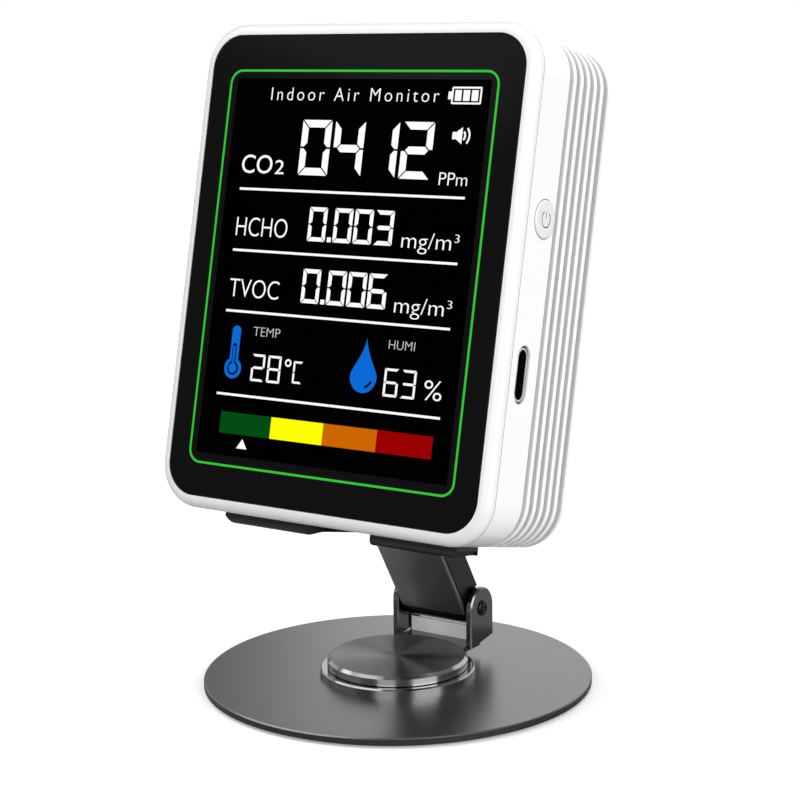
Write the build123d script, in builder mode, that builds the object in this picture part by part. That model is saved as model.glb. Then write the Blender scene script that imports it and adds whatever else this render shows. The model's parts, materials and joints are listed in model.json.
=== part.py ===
"""Desk air quality monitor on a folding, turning metal stand.

Millimetres, +Z up, origin at the centre of the base's underside. The screen faces -Y and leans
back, and the hinges' axes run along X.
"""
from build123d import *
import os
from math import cos, radians, sin

os.makedirs("parts", exist_ok=True)

# ---------------------------------------------------------------------------
# Driving dimensions: stand
# ---------------------------------------------------------------------------
base_radius = 35.5
pad_radius = 34.1
pad_thickness = 0.6
plate_thickness = 1.2
ring_radius = 14.2
ring_thickness = 1.15
disc_radius = 12.9
disc_gap = 0.15
disc_thickness = 1.8
disc_skin = 0.4
hub_radius = 7.4
pivot_radius = 2.5
running_clearance = 0.05
press_clearance = 0.01

ear_inner = 7.5
ear_thickness = 1.3
ear_radius = 3.9
foot_thickness = 1.0
web_y = 15.6
web_top = 7.3
lower_axis_y = 15.4
lower_axis_z = 11.2

arm_length = 20.2
arm_lean = 31.5
arm_half_width = 7.3
arm_front = 3.3
arm_rear = 2.65
arm_plate = 0.8
arm_plate_start = 0.7
cheek_thickness = 1.4
barrel_radius = 3.3
barrel_half_width = 6.75
lower_pin_radius = 1.0
upper_pin_radius = 1.0
knuckle_radius = 2.6
knuckle_half_width = 5.1
cheek_end_radius = 2.9

# ---------------------------------------------------------------------------
# Driving dimensions: monitor, as width, height and depth behind the glass face
# ---------------------------------------------------------------------------
tilt_back = 13.0
body_width = 69.0
body_height = 86.5
body_depth = 26.0
body_corner = 8.0
glass_width = 64.6
glass_height = 82.0
glass_corner = 5.8
glass_thickness = 0.9
tape_thickness = 0.15
bezel_depth = 2.1
bezel_lip = 1.2
wall = 2.2
band_end = 11.0
groove_count = 6
groove_pitch = 2.4
groove_width = 1.4
groove_cut = 0.9
lcd_width = 52.6
lcd_height = 66.6
board_front = 7.63
board_thickness = 1.6
boss_x = 29.6
boss_z = 38.2
boss_radius = 2.4
screw_radius = 1.0
port_depth = 6.0
port_height = -14.0
port_length = 8.94
port_width = 3.26
port_wall = 0.33
button_depth = 7.6
button_height = 11.8
button_radius = 3.2
button_clearance = 0.07

# Driving dimensions: cradle that holds the monitor
pad_gap = 0.1
cradle_pad_thickness = 0.8
cradle_thickness = 1.4
cradle_width = 52.0
cradle_top = 12.0
hook_inner = 7.0
hook_outer = 24.6
hook_front = 8.0
lip_depth = 7.0
lip_thickness = 1.9
hook_gap = 0.1
hook_pad = 0.3
hinge_behind_cradle = 3.1
hinge_height = -42.6

# ---------------------------------------------------------------------------
# Derived places
# ---------------------------------------------------------------------------
plate_bottom = pad_thickness
plate_top = plate_bottom + plate_thickness
ring_top = plate_top + ring_thickness
disc_bottom = ring_top + disc_gap
disc_top = disc_bottom + disc_thickness
foot_top = disc_top - disc_skin - running_clearance
foot_bottom = foot_top - foot_thickness
bracket_half_width = ear_inner + ear_thickness

lean = radians(arm_lean)
arm_up = Vector(0, -sin(lean), cos(lean))
arm_back = Vector(0, cos(lean), sin(lean))
lower_axis = Vector(0, lower_axis_y, lower_axis_z)
upper_axis = lower_axis + arm_up * arm_length

tilt = radians(tilt_back)
screen_back = Vector(0, cos(tilt), -sin(tilt))
screen_up = Vector(0, sin(tilt), cos(tilt))
cradle_front = body_depth + pad_gap + cradle_pad_thickness
cradle_rear = cradle_front + cradle_thickness
hinge_depth = cradle_rear + hinge_behind_cradle
glass_centre = upper_axis - screen_back * hinge_depth - screen_up * hinge_height
screen = Plane(origin=glass_centre, x_dir=(1, 0, 0), z_dir=-screen_back)
towards_screen = Axis(glass_centre, -screen_back)

rib_width = groove_pitch - groove_width
cover_front = band_end + groove_pitch * (groove_count - 1) + groove_width
cavity_width = body_width - 2 * wall
cavity_height = body_height - 2 * wall
cavity_corner = body_corner - wall
board_back = board_front + board_thickness
body_half = body_width / 2
body_floor = -body_height / 2
hook_top = body_floor - hook_gap - hook_pad
hook_bottom = hook_top - cradle_thickness


def at_depth(depth):
    """Plane parallel to the glass, a distance behind its face, seen from the front."""
    return screen.offset(-depth)


def monitor_side(x):
    """Plane square to X in the monitor's frame: its x is depth and its y is height."""
    return Plane(origin=glass_centre + Vector(x, 0, 0), x_dir=screen_back, z_dir=(1, 0, 0))


def seen_from_above(height):
    """Plane square to the screen's height: its x runs right and its y is depth."""
    return Plane(origin=glass_centre + screen_up * height, x_dir=(1, 0, 0), z_dir=screen_up)


def arm_side(x):
    """Plane square to X in the arm's frame: its x points to the arm's rear and its y up the arm."""
    return Plane(origin=lower_axis + Vector(x, 0, 0), x_dir=arm_back, z_dir=(1, 0, 0))


def slab(width, height, corner, near, far, centre=(0, 0), mode=Mode.ADD):
    """Round-cornered block between two depths behind the glass face."""
    with BuildSketch(at_depth(far)) as outline:
        with Locations(centre):
            RectangleRounded(width, height, corner)
    extrude(outline.sketch, amount=far - near, mode=mode)


def drum(radius, near, far, centre=(0, 0), mode=Mode.ADD):
    """Round block between two depths behind the glass face."""
    with BuildSketch(at_depth(far)) as outline:
        with Locations(centre):
            Circle(radius)
    extrude(outline.sketch, amount=far - near, mode=mode)


def disc(radius, bottom, top, mode=Mode.ADD):
    """Round block about the stand's vertical axis."""
    with BuildSketch(Plane.XY.offset(bottom)) as outline:
        Circle(radius)
    extrude(outline.sketch, amount=top - bottom, mode=mode)


def rod(plane, radius, length, centre=(0, 0), mode=Mode.ADD):
    """Round bar that starts on a plane and runs along its normal."""
    with BuildSketch(plane) as outline:
        with Locations(centre):
            Circle(radius)
    extrude(outline.sketch, amount=length, mode=mode)


def save(piece, label):
    """Name a finished piece and write it to its own file."""
    piece.part.label = label
    export_step(piece.part, f"parts/{label}.step")


# ---------------------------------------------------------------------------
# Base and turntable
# ---------------------------------------------------------------------------
rivet_head_radius = 5.2
pad_hole_radius = 7.0
edge_break = 0.25

# Rubber sheet under the base, with a hole that clears the pivot's lower head.
with BuildPart() as base_pad:
    disc(pad_radius, 0, pad_thickness)
    disc(pad_hole_radius, 0, pad_thickness, mode=Mode.SUBTRACT)
save(base_pad, "base_pad")

# Round steel plate with its upper rim broken.
with BuildPart() as base_plate:
    disc(base_radius, plate_bottom, plate_top)
    chamfer(base_plate.faces().sort_by(Axis.Z)[-1].edges(), length=edge_break)
    disc(pivot_radius + press_clearance, plate_bottom, plate_top, mode=Mode.SUBTRACT)
save(base_plate, "base_plate")

# Polished ring that the turntable sits in.
with BuildPart() as bearing_ring:
    disc(ring_radius, plate_top, ring_top)
    chamfer(bearing_ring.faces().sort_by(Axis.Z)[-1].edges(), length=edge_break)
    disc(hub_radius + running_clearance, plate_top, ring_top, mode=Mode.SUBTRACT)
save(bearing_ring, "bearing_ring")

# Pivot riveted up through the base. Its upper head holds the turntable down on a washer.
pivot_washer_thickness = 0.2
pivot_head_thickness = 0.55
lower_head_thickness = 0.45
washer_bottom = foot_bottom + running_clearance
washer_top = washer_bottom + pivot_washer_thickness
pivot_head_radius = 4.2
pivot_head_top = washer_top + pivot_head_thickness
with BuildPart() as pivot_rivet:
    disc(rivet_head_radius, plate_bottom - lower_head_thickness, plate_bottom)
    disc(pivot_radius, plate_bottom, washer_top)
    disc(pivot_head_radius, washer_top, pivot_head_top)
    chamfer(pivot_rivet.faces().sort_by(Axis.Z)[-1].edges(), length=edge_break)
save(pivot_rivet, "pivot_rivet")

with BuildPart() as pivot_washer:
    disc(pivot_head_radius, washer_bottom, washer_top)
    disc(pivot_radius + press_clearance, washer_bottom, washer_top, mode=Mode.SUBTRACT)
save(pivot_washer, "pivot_washer")

# Hub that turns inside the bearing ring, just clear of the base.
hub_bottom = plate_top + disc_gap
hub_rivet_radius = 0.9
hub_rivet_circle = 6.2
with BuildPart() as turntable_hub:
    disc(hub_radius, hub_bottom, foot_bottom)
    disc(pivot_radius + running_clearance, hub_bottom, foot_bottom, mode=Mode.SUBTRACT)
    with BuildSketch(Plane.XY.offset(hub_bottom)):
        with PolarLocations(hub_rivet_circle, 3, start_angle=-90):
            Circle(hub_rivet_radius)
    extrude(amount=foot_bottom - hub_bottom, mode=Mode.SUBTRACT)
save(turntable_hub, "turntable_hub")

# Three rivets that tie the bracket's foot to the hub.
with BuildPart() as hub_rivets:
    with BuildSketch(Plane.XY.offset(hub_bottom)):
        with PolarLocations(hub_rivet_circle, 3, start_angle=-90):
            Circle(hub_rivet_radius - press_clearance)
    extrude(amount=foot_top - hub_bottom)
save(hub_rivets, "hub_rivets")


def foot_block(margin, bottom, top, mode=Mode.ADD):
    """Block of the bracket foot's outline: round at the front, straight-sided to the web."""
    half = ear_inner + margin
    length = web_y + foot_thickness + margin
    with BuildSketch(Plane.XY.offset(bottom)) as outline:
        Circle(half)
        with Locations((0, length / 2)):
            Rectangle(2 * half, length)
    extrude(outline.sketch, amount=top - bottom, mode=mode)


# Folded bracket: flat foot, upright web at the rear and two rounded ears for the lower pin.
head_hole_radius = pivot_head_radius + 0.5
ear_bottom_front = foot_top - 0.25
ear_bottom_rear = ear_bottom_front + 1.2
ear_front_y = lower_axis_y - ear_radius
ear_rear_y = lower_axis_y + ear_radius
with BuildPart() as hinge_bracket:
    foot_block(0, foot_bottom, foot_top)
    disc(head_hole_radius, foot_bottom, foot_top, mode=Mode.SUBTRACT)
    with BuildSketch(Plane.XY.offset(foot_bottom)):
        with PolarLocations(hub_rivet_circle, 3, start_angle=-90):
            Circle(hub_rivet_radius)
    extrude(amount=foot_thickness, mode=Mode.SUBTRACT)
    with BuildSketch(Plane.YZ.offset(ear_inner)):
        with BuildLine():
            Line((ear_front_y, ear_bottom_front), (ear_front_y, lower_axis_z))
            ThreePointArc(
                (ear_front_y, lower_axis_z),
                (lower_axis_y, lower_axis_z + ear_radius),
                (ear_rear_y, lower_axis_z),
            )
            Polyline(
                (ear_rear_y, lower_axis_z),
                (ear_rear_y, ear_bottom_rear),
                (ear_front_y, ear_bottom_front),
            )
        make_face()
    extrude(amount=ear_thickness)
    ear_rims = hinge_bracket.edges().filter_by(GeomType.CIRCLE).filter_by(
        lambda edge: abs(edge.radius - ear_radius) < press_clearance
    )
    chamfer(ear_rims, length=edge_break)
    mirror(about=Plane.YZ)
    with BuildSketch(Plane.XY.offset(foot_bottom)):
        with Locations((0, web_y + foot_thickness / 2)):
            Rectangle(2 * ear_inner, foot_thickness)
    extrude(amount=web_top - foot_bottom)
    rod(Plane.YZ.offset(-bracket_half_width), lower_pin_radius + press_clearance,
        2 * bracket_half_width, centre=(lower_axis_y, lower_axis_z), mode=Mode.SUBTRACT)
save(hinge_bracket, "hinge_bracket")

# Cap with a spun top face. A pocket underneath takes the bracket's foot.
disc_chamfer = 0.55
with BuildPart() as turntable_disc:
    disc(disc_radius, disc_bottom, disc_top)
    chamfer(turntable_disc.faces().sort_by(Axis.Z)[-1].edges(), length=disc_chamfer)
    foot_block(running_clearance, disc_bottom, disc_top - disc_skin, mode=Mode.SUBTRACT)
save(turntable_disc, "turntable_disc")


def headed_pin(radius, half_length, head_radius, head_thickness, centre):
    """Pin along X with a low round head at each end."""
    rod(Plane.YZ.offset(-half_length), radius, 2 * half_length, centre=centre)
    rod(Plane.YZ.offset(half_length), head_radius, head_thickness, centre=centre)
    rod(Plane.YZ.offset(-half_length - head_thickness), head_radius, head_thickness, centre=centre)


def washer_pair(inner_radius, outer_radius, start, thickness, centre):
    """Two equal washers on a pin, one each side of the middle."""
    for x in (start, -start - thickness):
        rod(Plane.YZ.offset(x), outer_radius, thickness, centre=centre)
        rod(Plane.YZ.offset(x), inner_radius, thickness, centre=centre, mode=Mode.SUBTRACT)


# Lower hinge pin and its friction washers.
lower_centre = (lower_axis.Y, lower_axis.Z)
upper_centre = (upper_axis.Y, upper_axis.Z)
pin_head_radius = 1.45
head_thickness = 0.35
head_round = 0.2
lower_washer_radius = 2.4
lower_washer_thickness = 0.6
upper_washer_thickness = 0.4
with BuildPart() as lower_pin:
    headed_pin(lower_pin_radius, bracket_half_width, pin_head_radius, head_thickness, lower_centre)
    fillet(lower_pin.faces().sort_by(Axis.X)[-1].edges(), radius=head_round)
    fillet(lower_pin.faces().sort_by(Axis.X)[0].edges(), radius=head_round)
save(lower_pin, "lower_pin")

with BuildPart() as lower_washers:
    washer_pair(lower_pin_radius + press_clearance, lower_washer_radius,
                barrel_half_width + running_clearance, lower_washer_thickness, lower_centre)
save(lower_washers, "lower_washers")

# ---------------------------------------------------------------------------
# Arm
# ---------------------------------------------------------------------------
knuckle_room = 3.3
wall_thickness = 1.4
bar_start = 3.2
shell_front = -(arm_front - arm_plate)

# Channel with a solid barrel at its foot and two cheeks that carry the upper pin.
with BuildPart() as arm_channel:
    rod(arm_side(-barrel_half_width), barrel_radius, 2 * barrel_half_width)
    with BuildSketch(arm_side(-barrel_half_width)):
        with Locations(((shell_front + arm_rear) / 2, bar_start / 2)):
            Rectangle(arm_rear - shell_front, bar_start)
    extrude(amount=2 * barrel_half_width)
    # bar with rounded upper ends
    with BuildSketch(arm_side(-arm_half_width)):
        with BuildLine():
            Polyline(
                (shell_front, bar_start),
                (arm_rear, bar_start),
                (arm_rear, arm_length),
                (shell_front, arm_length),
                close=True,
            )
        make_face()
        with Locations((0, arm_length)):
            Circle(cheek_end_radius)
    extrude(amount=2 * arm_half_width)
    # room for the cradle's knuckle between the cheeks
    with BuildSketch(arm_side(-arm_half_width + cheek_thickness)):
        with Locations((0, arm_length)):
            Rectangle(3 * cheek_end_radius, 2 * knuckle_room)
    extrude(amount=2 * (arm_half_width - cheek_thickness), mode=Mode.SUBTRACT)
    # the channel is open at the rear, up to the knuckle
    with BuildSketch(arm_side(-arm_half_width + cheek_thickness)):
        with BuildLine():
            Polyline(
                (shell_front + wall_thickness, bar_start + wall_thickness),
                (2 * arm_rear, bar_start + wall_thickness),
                (2 * arm_rear, arm_length),
                (shell_front + wall_thickness, arm_length),
                close=True,
            )
        make_face()
    extrude(amount=2 * (arm_half_width - cheek_thickness), mode=Mode.SUBTRACT)
    # seat for the front plate, which ends flush with the barrel
    with BuildSketch(arm_side(-arm_half_width)):
        with Locations((-arm_front, (arm_plate_start + arm_length) / 2)):
            Rectangle(2 * arm_plate, arm_length - arm_plate_start)
    extrude(amount=2 * arm_half_width, mode=Mode.SUBTRACT)
    rod(arm_side(-arm_half_width), lower_pin_radius + running_clearance, 2 * arm_half_width,
        mode=Mode.SUBTRACT)
    rod(arm_side(-arm_half_width), upper_pin_radius + press_clearance, 2 * arm_half_width,
        centre=(0, arm_length), mode=Mode.SUBTRACT)
save(arm_channel, "arm_channel")

# Flat polished plate on the arm's front, a hair narrower than the channel.
plate_inset = 0.2
with BuildPart() as arm_front_plate:
    with BuildSketch(arm_side(-arm_half_width + plate_inset)):
        with BuildLine():
            Polyline(
                (-arm_front, arm_plate_start),
                (shell_front, arm_plate_start),
                (shell_front, arm_length - knuckle_room),
                (-arm_front, arm_length - knuckle_room),
                close=True,
            )
        make_face()
    extrude(amount=2 * (arm_half_width - plate_inset))
    plate_face = arm_front_plate.faces().sort_by(Axis(lower_axis, arm_back))[0]
    chamfer(plate_face.edges(), length=edge_break)
save(arm_front_plate, "arm_front_plate")

with BuildPart() as upper_pin:
    headed_pin(upper_pin_radius, arm_half_width, pin_head_radius, head_thickness, upper_centre)
    fillet(upper_pin.faces().sort_by(Axis.X)[-1].edges(), radius=head_round)
    fillet(upper_pin.faces().sort_by(Axis.X)[0].edges(), radius=head_round)
save(upper_pin, "upper_pin")

with BuildPart() as upper_washers:
    washer_pair(upper_pin_radius + press_clearance, knuckle_radius,
                knuckle_half_width + running_clearance, upper_washer_thickness, upper_centre)
save(upper_washers, "upper_washers")

# ---------------------------------------------------------------------------
# Cradle: back plate bent forward into two hooks, with a knuckle for the upper pin
# ---------------------------------------------------------------------------
cradle_height = cradle_top - hook_bottom
cradle_corner = 6.0
cradle_foot = 15.5
shoulder_height = -30.0
shoulder_round = 4.0
hook_width = hook_outer - hook_inner
tip_slant = 1.3
taper_start = hook_front + lip_depth
knuckle_centre = (hinge_depth, hinge_height)
with BuildPart() as cradle_plate:
    # back plate that narrows to its foot
    with BuildSketch(at_depth(cradle_rear)) as cradle_outline:
        with Locations((0, (cradle_top + shoulder_height) / 2)):
            Rectangle(cradle_width, cradle_top - shoulder_height)
        fillet(cradle_outline.vertices().group_by(Axis.Y)[-1], radius=cradle_corner)
        with BuildLine():
            Polyline(
                (-cradle_width / 2, shoulder_height),
                (-cradle_foot, hook_bottom),
                (cradle_foot, hook_bottom),
                (cradle_width / 2, shoulder_height),
                close=True,
            )
        make_face()
        fillet(cradle_outline.vertices().filter_by_position(
            Axis.Y, shoulder_height - press_clearance, shoulder_height + press_clearance
        ), radius=shoulder_round)
    extrude(amount=cradle_thickness)
    # hooks: a thin tongue from the plate to a thick front lip with a rounded underside
    with BuildSketch(monitor_side(hook_inner)):
        with BuildLine():
            Polyline(
                (cradle_rear, hook_top),
                (hook_front, hook_top),
                (hook_front, hook_top - cradle_thickness / 2),
            )
            Spline(
                (hook_front, hook_top - cradle_thickness / 2),
                (hook_front + lip_depth * 0.35, hook_top - lip_thickness),
                (hook_front + lip_depth, hook_bottom),
                tangents=((0, -1), (1, 0)),
            )
            Polyline(
                (hook_front + lip_depth, hook_bottom),
                (cradle_rear, hook_bottom),
                (cradle_rear, hook_top),
            )
        make_face()
    extrude(amount=hook_width)
    # slanted outer end of the lip
    with BuildSketch(at_depth(hook_front + lip_depth)):
        with BuildLine():
            Polyline(
                (hook_outer, hook_top - cradle_thickness / 2),
                (hook_outer + tip_slant, hook_top - cradle_thickness / 2),
                (hook_outer + tip_slant, hook_top - lip_thickness - tip_slant),
                (hook_outer - 2 * tip_slant, hook_top - lip_thickness - tip_slant),
                close=True,
            )
        make_face()
    extrude(amount=lip_depth + tip_slant, mode=Mode.SUBTRACT)
    # the tongue narrows from the lip to the plate's foot
    with BuildSketch(seen_from_above(hook_bottom - tip_slant)):
        with BuildLine():
            Polyline(
                (hook_outer, taper_start),
                (cradle_foot, cradle_front),
                (cradle_foot, 2 * cradle_rear),
                (2 * hook_outer, 2 * cradle_rear),
                (2 * hook_outer, taper_start),
                close=True,
            )
        make_face()
    extrude(amount=hook_top - hook_bottom + 2 * tip_slant, mode=Mode.SUBTRACT)
    mirror(about=Plane.YZ)
    # knuckle
    with BuildSketch(monitor_side(-knuckle_half_width)):
        with Locations(knuckle_centre):
            Circle(knuckle_radius)
        with Locations((cradle_rear + hinge_behind_cradle / 2, hinge_height)):
            Rectangle(hinge_behind_cradle, 2 * knuckle_radius)
    extrude(amount=2 * knuckle_half_width)
    rod(monitor_side(-knuckle_half_width), upper_pin_radius + running_clearance,
        2 * knuckle_half_width, centre=knuckle_centre, mode=Mode.SUBTRACT)
save(cradle_plate, "cradle_plate")

# Silicone pad that the monitor leans on, and strips on the hooks that it stands on.
cradle_pad_width = 40.0
cradle_pad_height = 34.0
cradle_pad_corner = 4.0
cradle_pad_centre = (0, -8.0)
with BuildPart() as cradle_pad:
    slab(cradle_pad_width, cradle_pad_height, cradle_pad_corner, body_depth + pad_gap,
         cradle_front, centre=cradle_pad_centre)
save(cradle_pad, "cradle_pad")

hook_pad_margin = 1.0
hook_pad_front = hook_front + hook_pad_margin
hook_pad_rear = taper_start - hook_pad_margin / 2
with BuildPart() as hook_pads:
    with BuildSketch(monitor_side(hook_inner + hook_pad_margin)):
        with Locations(((hook_pad_front + hook_pad_rear) / 2, hook_top + hook_pad / 2)):
            Rectangle(hook_pad_rear - hook_pad_front, hook_pad)
    extrude(amount=hook_width - 2 * hook_pad_margin)
    mirror(about=Plane.YZ)
save(hook_pads, "hook_pads")

# ---------------------------------------------------------------------------
# Monitor: casing
# ---------------------------------------------------------------------------
glass_slack = 0.1
lip_slack = 0.1
ledge_width = 2.3
bezel_round = 1.9
with BuildPart() as front_bezel:
    slab(body_width, body_height, body_corner, 0, bezel_depth)
    fillet(front_bezel.faces().sort_by(towards_screen)[-1].edges(), radius=bezel_round)
    slab(cavity_width - lip_slack, cavity_height - lip_slack, cavity_corner, bezel_depth,
         bezel_depth + bezel_lip)
    slab(glass_width + 2 * glass_slack, glass_height + 2 * glass_slack, glass_corner + glass_slack,
         0, glass_thickness + tape_thickness, mode=Mode.SUBTRACT)
    slab(glass_width - 2 * ledge_width, glass_height - 2 * ledge_width, glass_corner - ledge_width,
         0, bezel_depth + bezel_lip, mode=Mode.SUBTRACT)
save(front_bezel, "front_bezel")

# Ribbed box: a plain band at the front, then grooves all round with ribs between them.
port_margin = 0.38
soft_edge = 0.18
with BuildPart() as main_housing:
    slab(body_width - 2 * groove_cut, body_height - 2 * groove_cut, body_corner - groove_cut,
         bezel_depth, cover_front)
    slab(body_width, body_height, body_corner, bezel_depth, band_end)
    for rib in range(groove_count - 1):
        rib_start = band_end + groove_width + rib * groove_pitch
        slab(body_width, body_height, body_corner, rib_start, rib_start + rib_width)
    corner_rims = main_housing.edges().filter_by(GeomType.CIRCLE).filter_by(
        lambda edge: abs(edge.radius - body_corner) < press_clearance
    )
    fillet(corner_rims, radius=soft_edge)
    slab(cavity_width, cavity_height, cavity_corner, bezel_depth, cover_front, mode=Mode.SUBTRACT)
    with BuildSketch(at_depth(cover_front)):
        with GridLocations(2 * boss_x, 2 * boss_z, 2, 2):
            Circle(boss_radius)
    extrude(amount=cover_front - board_back)
    with BuildSketch(at_depth(cover_front)):
        with GridLocations(2 * boss_x, 2 * boss_z, 2, 2):
            Circle(screw_radius + press_clearance)
    extrude(amount=cover_front - board_back, mode=Mode.SUBTRACT)
    with BuildSketch(monitor_side(body_half - 1.5 * wall)):
        with Locations((port_depth, port_height)):
            SlotOverall(port_length + 2 * port_margin, port_width + 2 * port_margin, rotation=90)
        with Locations((button_depth, button_height)):
            Circle(button_radius + button_clearance)
    extrude(amount=2 * wall, mode=Mode.SUBTRACT)
save(main_housing, "main_housing")

# Rear cover with a vent, four screw recesses and a rounded rim.
rear_round = 1.1
head_radius = 1.9
head_depth = 0.9
cover_lip = 1.2
cover_lip_wall = 1.4
screw_slack = 0.1
vent_slots = 7
vent_pitch = 2.6
vent_height = 1.3
vent_length = 30.0
vent_centre = (0, 26.0)
with BuildPart() as rear_cover:
    slab(body_width, body_height, body_corner, cover_front, body_depth)
    fillet(rear_cover.faces().sort_by(towards_screen)[0].edges(), radius=rear_round)
    slab(cavity_width - lip_slack, cavity_height - lip_slack, cavity_corner,
         cover_front - cover_lip, cover_front)
    slab(cavity_width - 2 * cover_lip_wall, cavity_height - 2 * cover_lip_wall,
         cavity_corner - cover_lip_wall, cover_front - cover_lip, cover_front, mode=Mode.SUBTRACT)
    with BuildSketch(at_depth(cover_front)):
        with GridLocations(2 * boss_x, 2 * boss_z, 2, 2):
            Circle(boss_radius + screw_slack)
    extrude(amount=cover_lip, mode=Mode.SUBTRACT)
    with BuildSketch(at_depth(body_depth)):
        with GridLocations(2 * boss_x, 2 * boss_z, 2, 2):
            Circle(screw_radius + screw_slack)
        with Locations(vent_centre):
            with GridLocations(0, vent_pitch, 1, vent_slots):
                SlotOverall(vent_length, vent_height)
    extrude(amount=body_depth - cover_front, mode=Mode.SUBTRACT)
    with BuildSketch(at_depth(body_depth)):
        with GridLocations(2 * boss_x, 2 * boss_z, 2, 2):
            Circle(head_radius + screw_slack)
    extrude(amount=head_depth, mode=Mode.SUBTRACT)
save(rear_cover, "rear_cover")

# Dust mesh glued behind the vent.
mesh_margin = 2.0
mesh_thickness = 0.3
mesh_width = vent_length + 2 * mesh_margin
mesh_height = vent_pitch * (vent_slots - 1) + vent_height + 2 * mesh_margin
with BuildPart() as vent_mesh:
    slab(mesh_width, mesh_height, 1.0, cover_front - mesh_thickness, cover_front,
         centre=vent_centre)
save(vent_mesh, "vent_mesh")

# Four cross-head screws that hold the rear cover on the housing's bosses.
screw_length = 6.0
cross_depth = 0.5
cross_width = 0.5
cross_length = 2.2
with BuildPart() as housing_screws:
    with BuildSketch(at_depth(body_depth - head_depth)):
        with GridLocations(2 * boss_x, 2 * boss_z, 2, 2):
            Circle(screw_radius)
    extrude(amount=screw_length)
    with BuildSketch(at_depth(body_depth)):
        with GridLocations(2 * boss_x, 2 * boss_z, 2, 2):
            Circle(head_radius)
    extrude(amount=head_depth)
    with BuildSketch(at_depth(body_depth)):
        with GridLocations(2 * boss_x, 2 * boss_z, 2, 2):
            Rectangle(cross_length, cross_width)
            Rectangle(cross_width, cross_length)
    extrude(amount=cross_depth, mode=Mode.SUBTRACT)
save(housing_screws, "housing_screws")

# ---------------------------------------------------------------------------
# Monitor: glass and display
# ---------------------------------------------------------------------------
panel_thickness = 1.4
backlight_thickness = 1.6
panel_back = glass_thickness + panel_thickness
backlight_back = panel_back + backlight_thickness

glass_edge = 0.12
with BuildPart() as front_glass:
    slab(glass_width, glass_height, glass_corner, 0, glass_thickness)
    chamfer(front_glass.faces().sort_by(towards_screen)[-1].edges(), length=glass_edge)
save(front_glass, "front_glass")

# Ring of double-sided tape between the glass and the bezel's ledge.
tape_width = 2.0
tape_inset = 0.2
tape_inner = tape_inset + tape_width
tape_back = glass_thickness + tape_thickness
with BuildPart() as glass_tape:
    slab(glass_width - 2 * tape_inset, glass_height - 2 * tape_inset, glass_corner - tape_inset,
         glass_thickness, tape_back)
    slab(glass_width - 2 * tape_inner, glass_height - 2 * tape_inner, glass_corner - tape_inner,
         glass_thickness, tape_back, mode=Mode.SUBTRACT)
save(glass_tape, "glass_tape")

lcd_corner = 0.6
backlight_margin = 1.0
with BuildPart() as display_panel:
    slab(lcd_width, lcd_height, lcd_corner, glass_thickness, panel_back)
save(display_panel, "display_panel")

with BuildPart() as display_backlight:
    slab(lcd_width + 2 * backlight_margin, lcd_height + 2 * backlight_margin,
         lcd_corner + backlight_margin, panel_back, backlight_back)
save(display_backlight, "display_backlight")

# Flat ribbon that doubles back from the backlight to the board.
ribbon_thickness = 0.2
ribbon_half = 8.0
ribbon_start = -30.0
ribbon_bend = -36.5
ribbon_near = backlight_back + ribbon_thickness / 2
ribbon_far = board_front - ribbon_thickness / 2
with BuildPart() as display_ribbon:
    with BuildSketch(monitor_side(-ribbon_half)):
        with BuildLine():
            Line((ribbon_near, ribbon_start), (ribbon_near, ribbon_bend))
            ThreePointArc(
                (ribbon_near, ribbon_bend),
                ((ribbon_near + ribbon_far) / 2, ribbon_bend - (ribbon_far - ribbon_near) / 2),
                (ribbon_far, ribbon_bend),
            )
            Line((ribbon_far, ribbon_bend), (ribbon_far, ribbon_start))
        trace(line_width=ribbon_thickness)
    extrude(amount=2 * ribbon_half)
save(display_ribbon, "display_ribbon")

# ---------------------------------------------------------------------------
# Monitor: board and what is on it
# ---------------------------------------------------------------------------
board_slack = 0.5
board_width = cavity_width - 2 * board_slack
board_height = cavity_height - 2.2 * board_slack
notch_start = 28.6
notch_height = 10.6
with BuildPart() as main_board:
    slab(board_width, board_height, cavity_corner - board_slack, board_front, board_back)
    with BuildSketch(at_depth(board_back)):
        with GridLocations(2 * boss_x, 2 * boss_z, 2, 2):
            Circle(screw_radius + press_clearance)
        with Locations(((notch_start + body_half) / 2, button_height)):
            Rectangle(body_half - notch_start, notch_height)
    extrude(amount=board_thickness, mode=Mode.SUBTRACT)
save(main_board, "main_board")

# Four short screws that hold the board on the same bosses, from the front.
board_screw_length = 4.5
board_head_radius = 1.45
board_head_thickness = 0.8
with BuildPart() as board_screws:
    with BuildSketch(at_depth(board_front + board_screw_length)):
        with GridLocations(2 * boss_x, 2 * boss_z, 2, 2):
            Circle(screw_radius)
    extrude(amount=board_screw_length)
    with BuildSketch(at_depth(board_front)):
        with GridLocations(2 * boss_x, 2 * boss_z, 2, 2):
            Circle(board_head_radius)
    extrude(amount=board_head_thickness)
save(board_screws, "board_screws")

# Controller and memory chips on the board's rear face.
chip_corner = 0.3
chips = (
    # width, height, thickness, centre
    (7.0, 7.0, 1.0, (21.0, 4.0)),
    (5.0, 4.0, 1.5, (21.5, -4.5)),
    (4.0, 3.0, 1.1, (22.0, -24.0)),
)
with BuildPart() as board_chips:
    for chip_width, chip_height, chip_thickness, chip_centre in chips:
        slab(chip_width, chip_height, chip_corner, board_back, board_back + chip_thickness,
             centre=chip_centre)
save(board_chips, "board_chips")

foam_width = 30.0
foam_height = 36.0
foam_thickness = 0.8
battery_width = 38.0
battery_height = 46.0
battery_thickness = 7.5
battery_corner = 2.5
battery_edge = 1.2
battery_centre = (-6.0, -12.0)
foam_back = board_back + foam_thickness
with BuildPart() as battery_foam:
    slab(foam_width, foam_height, 1.0, board_back, foam_back, centre=battery_centre)
save(battery_foam, "battery_foam")

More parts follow.
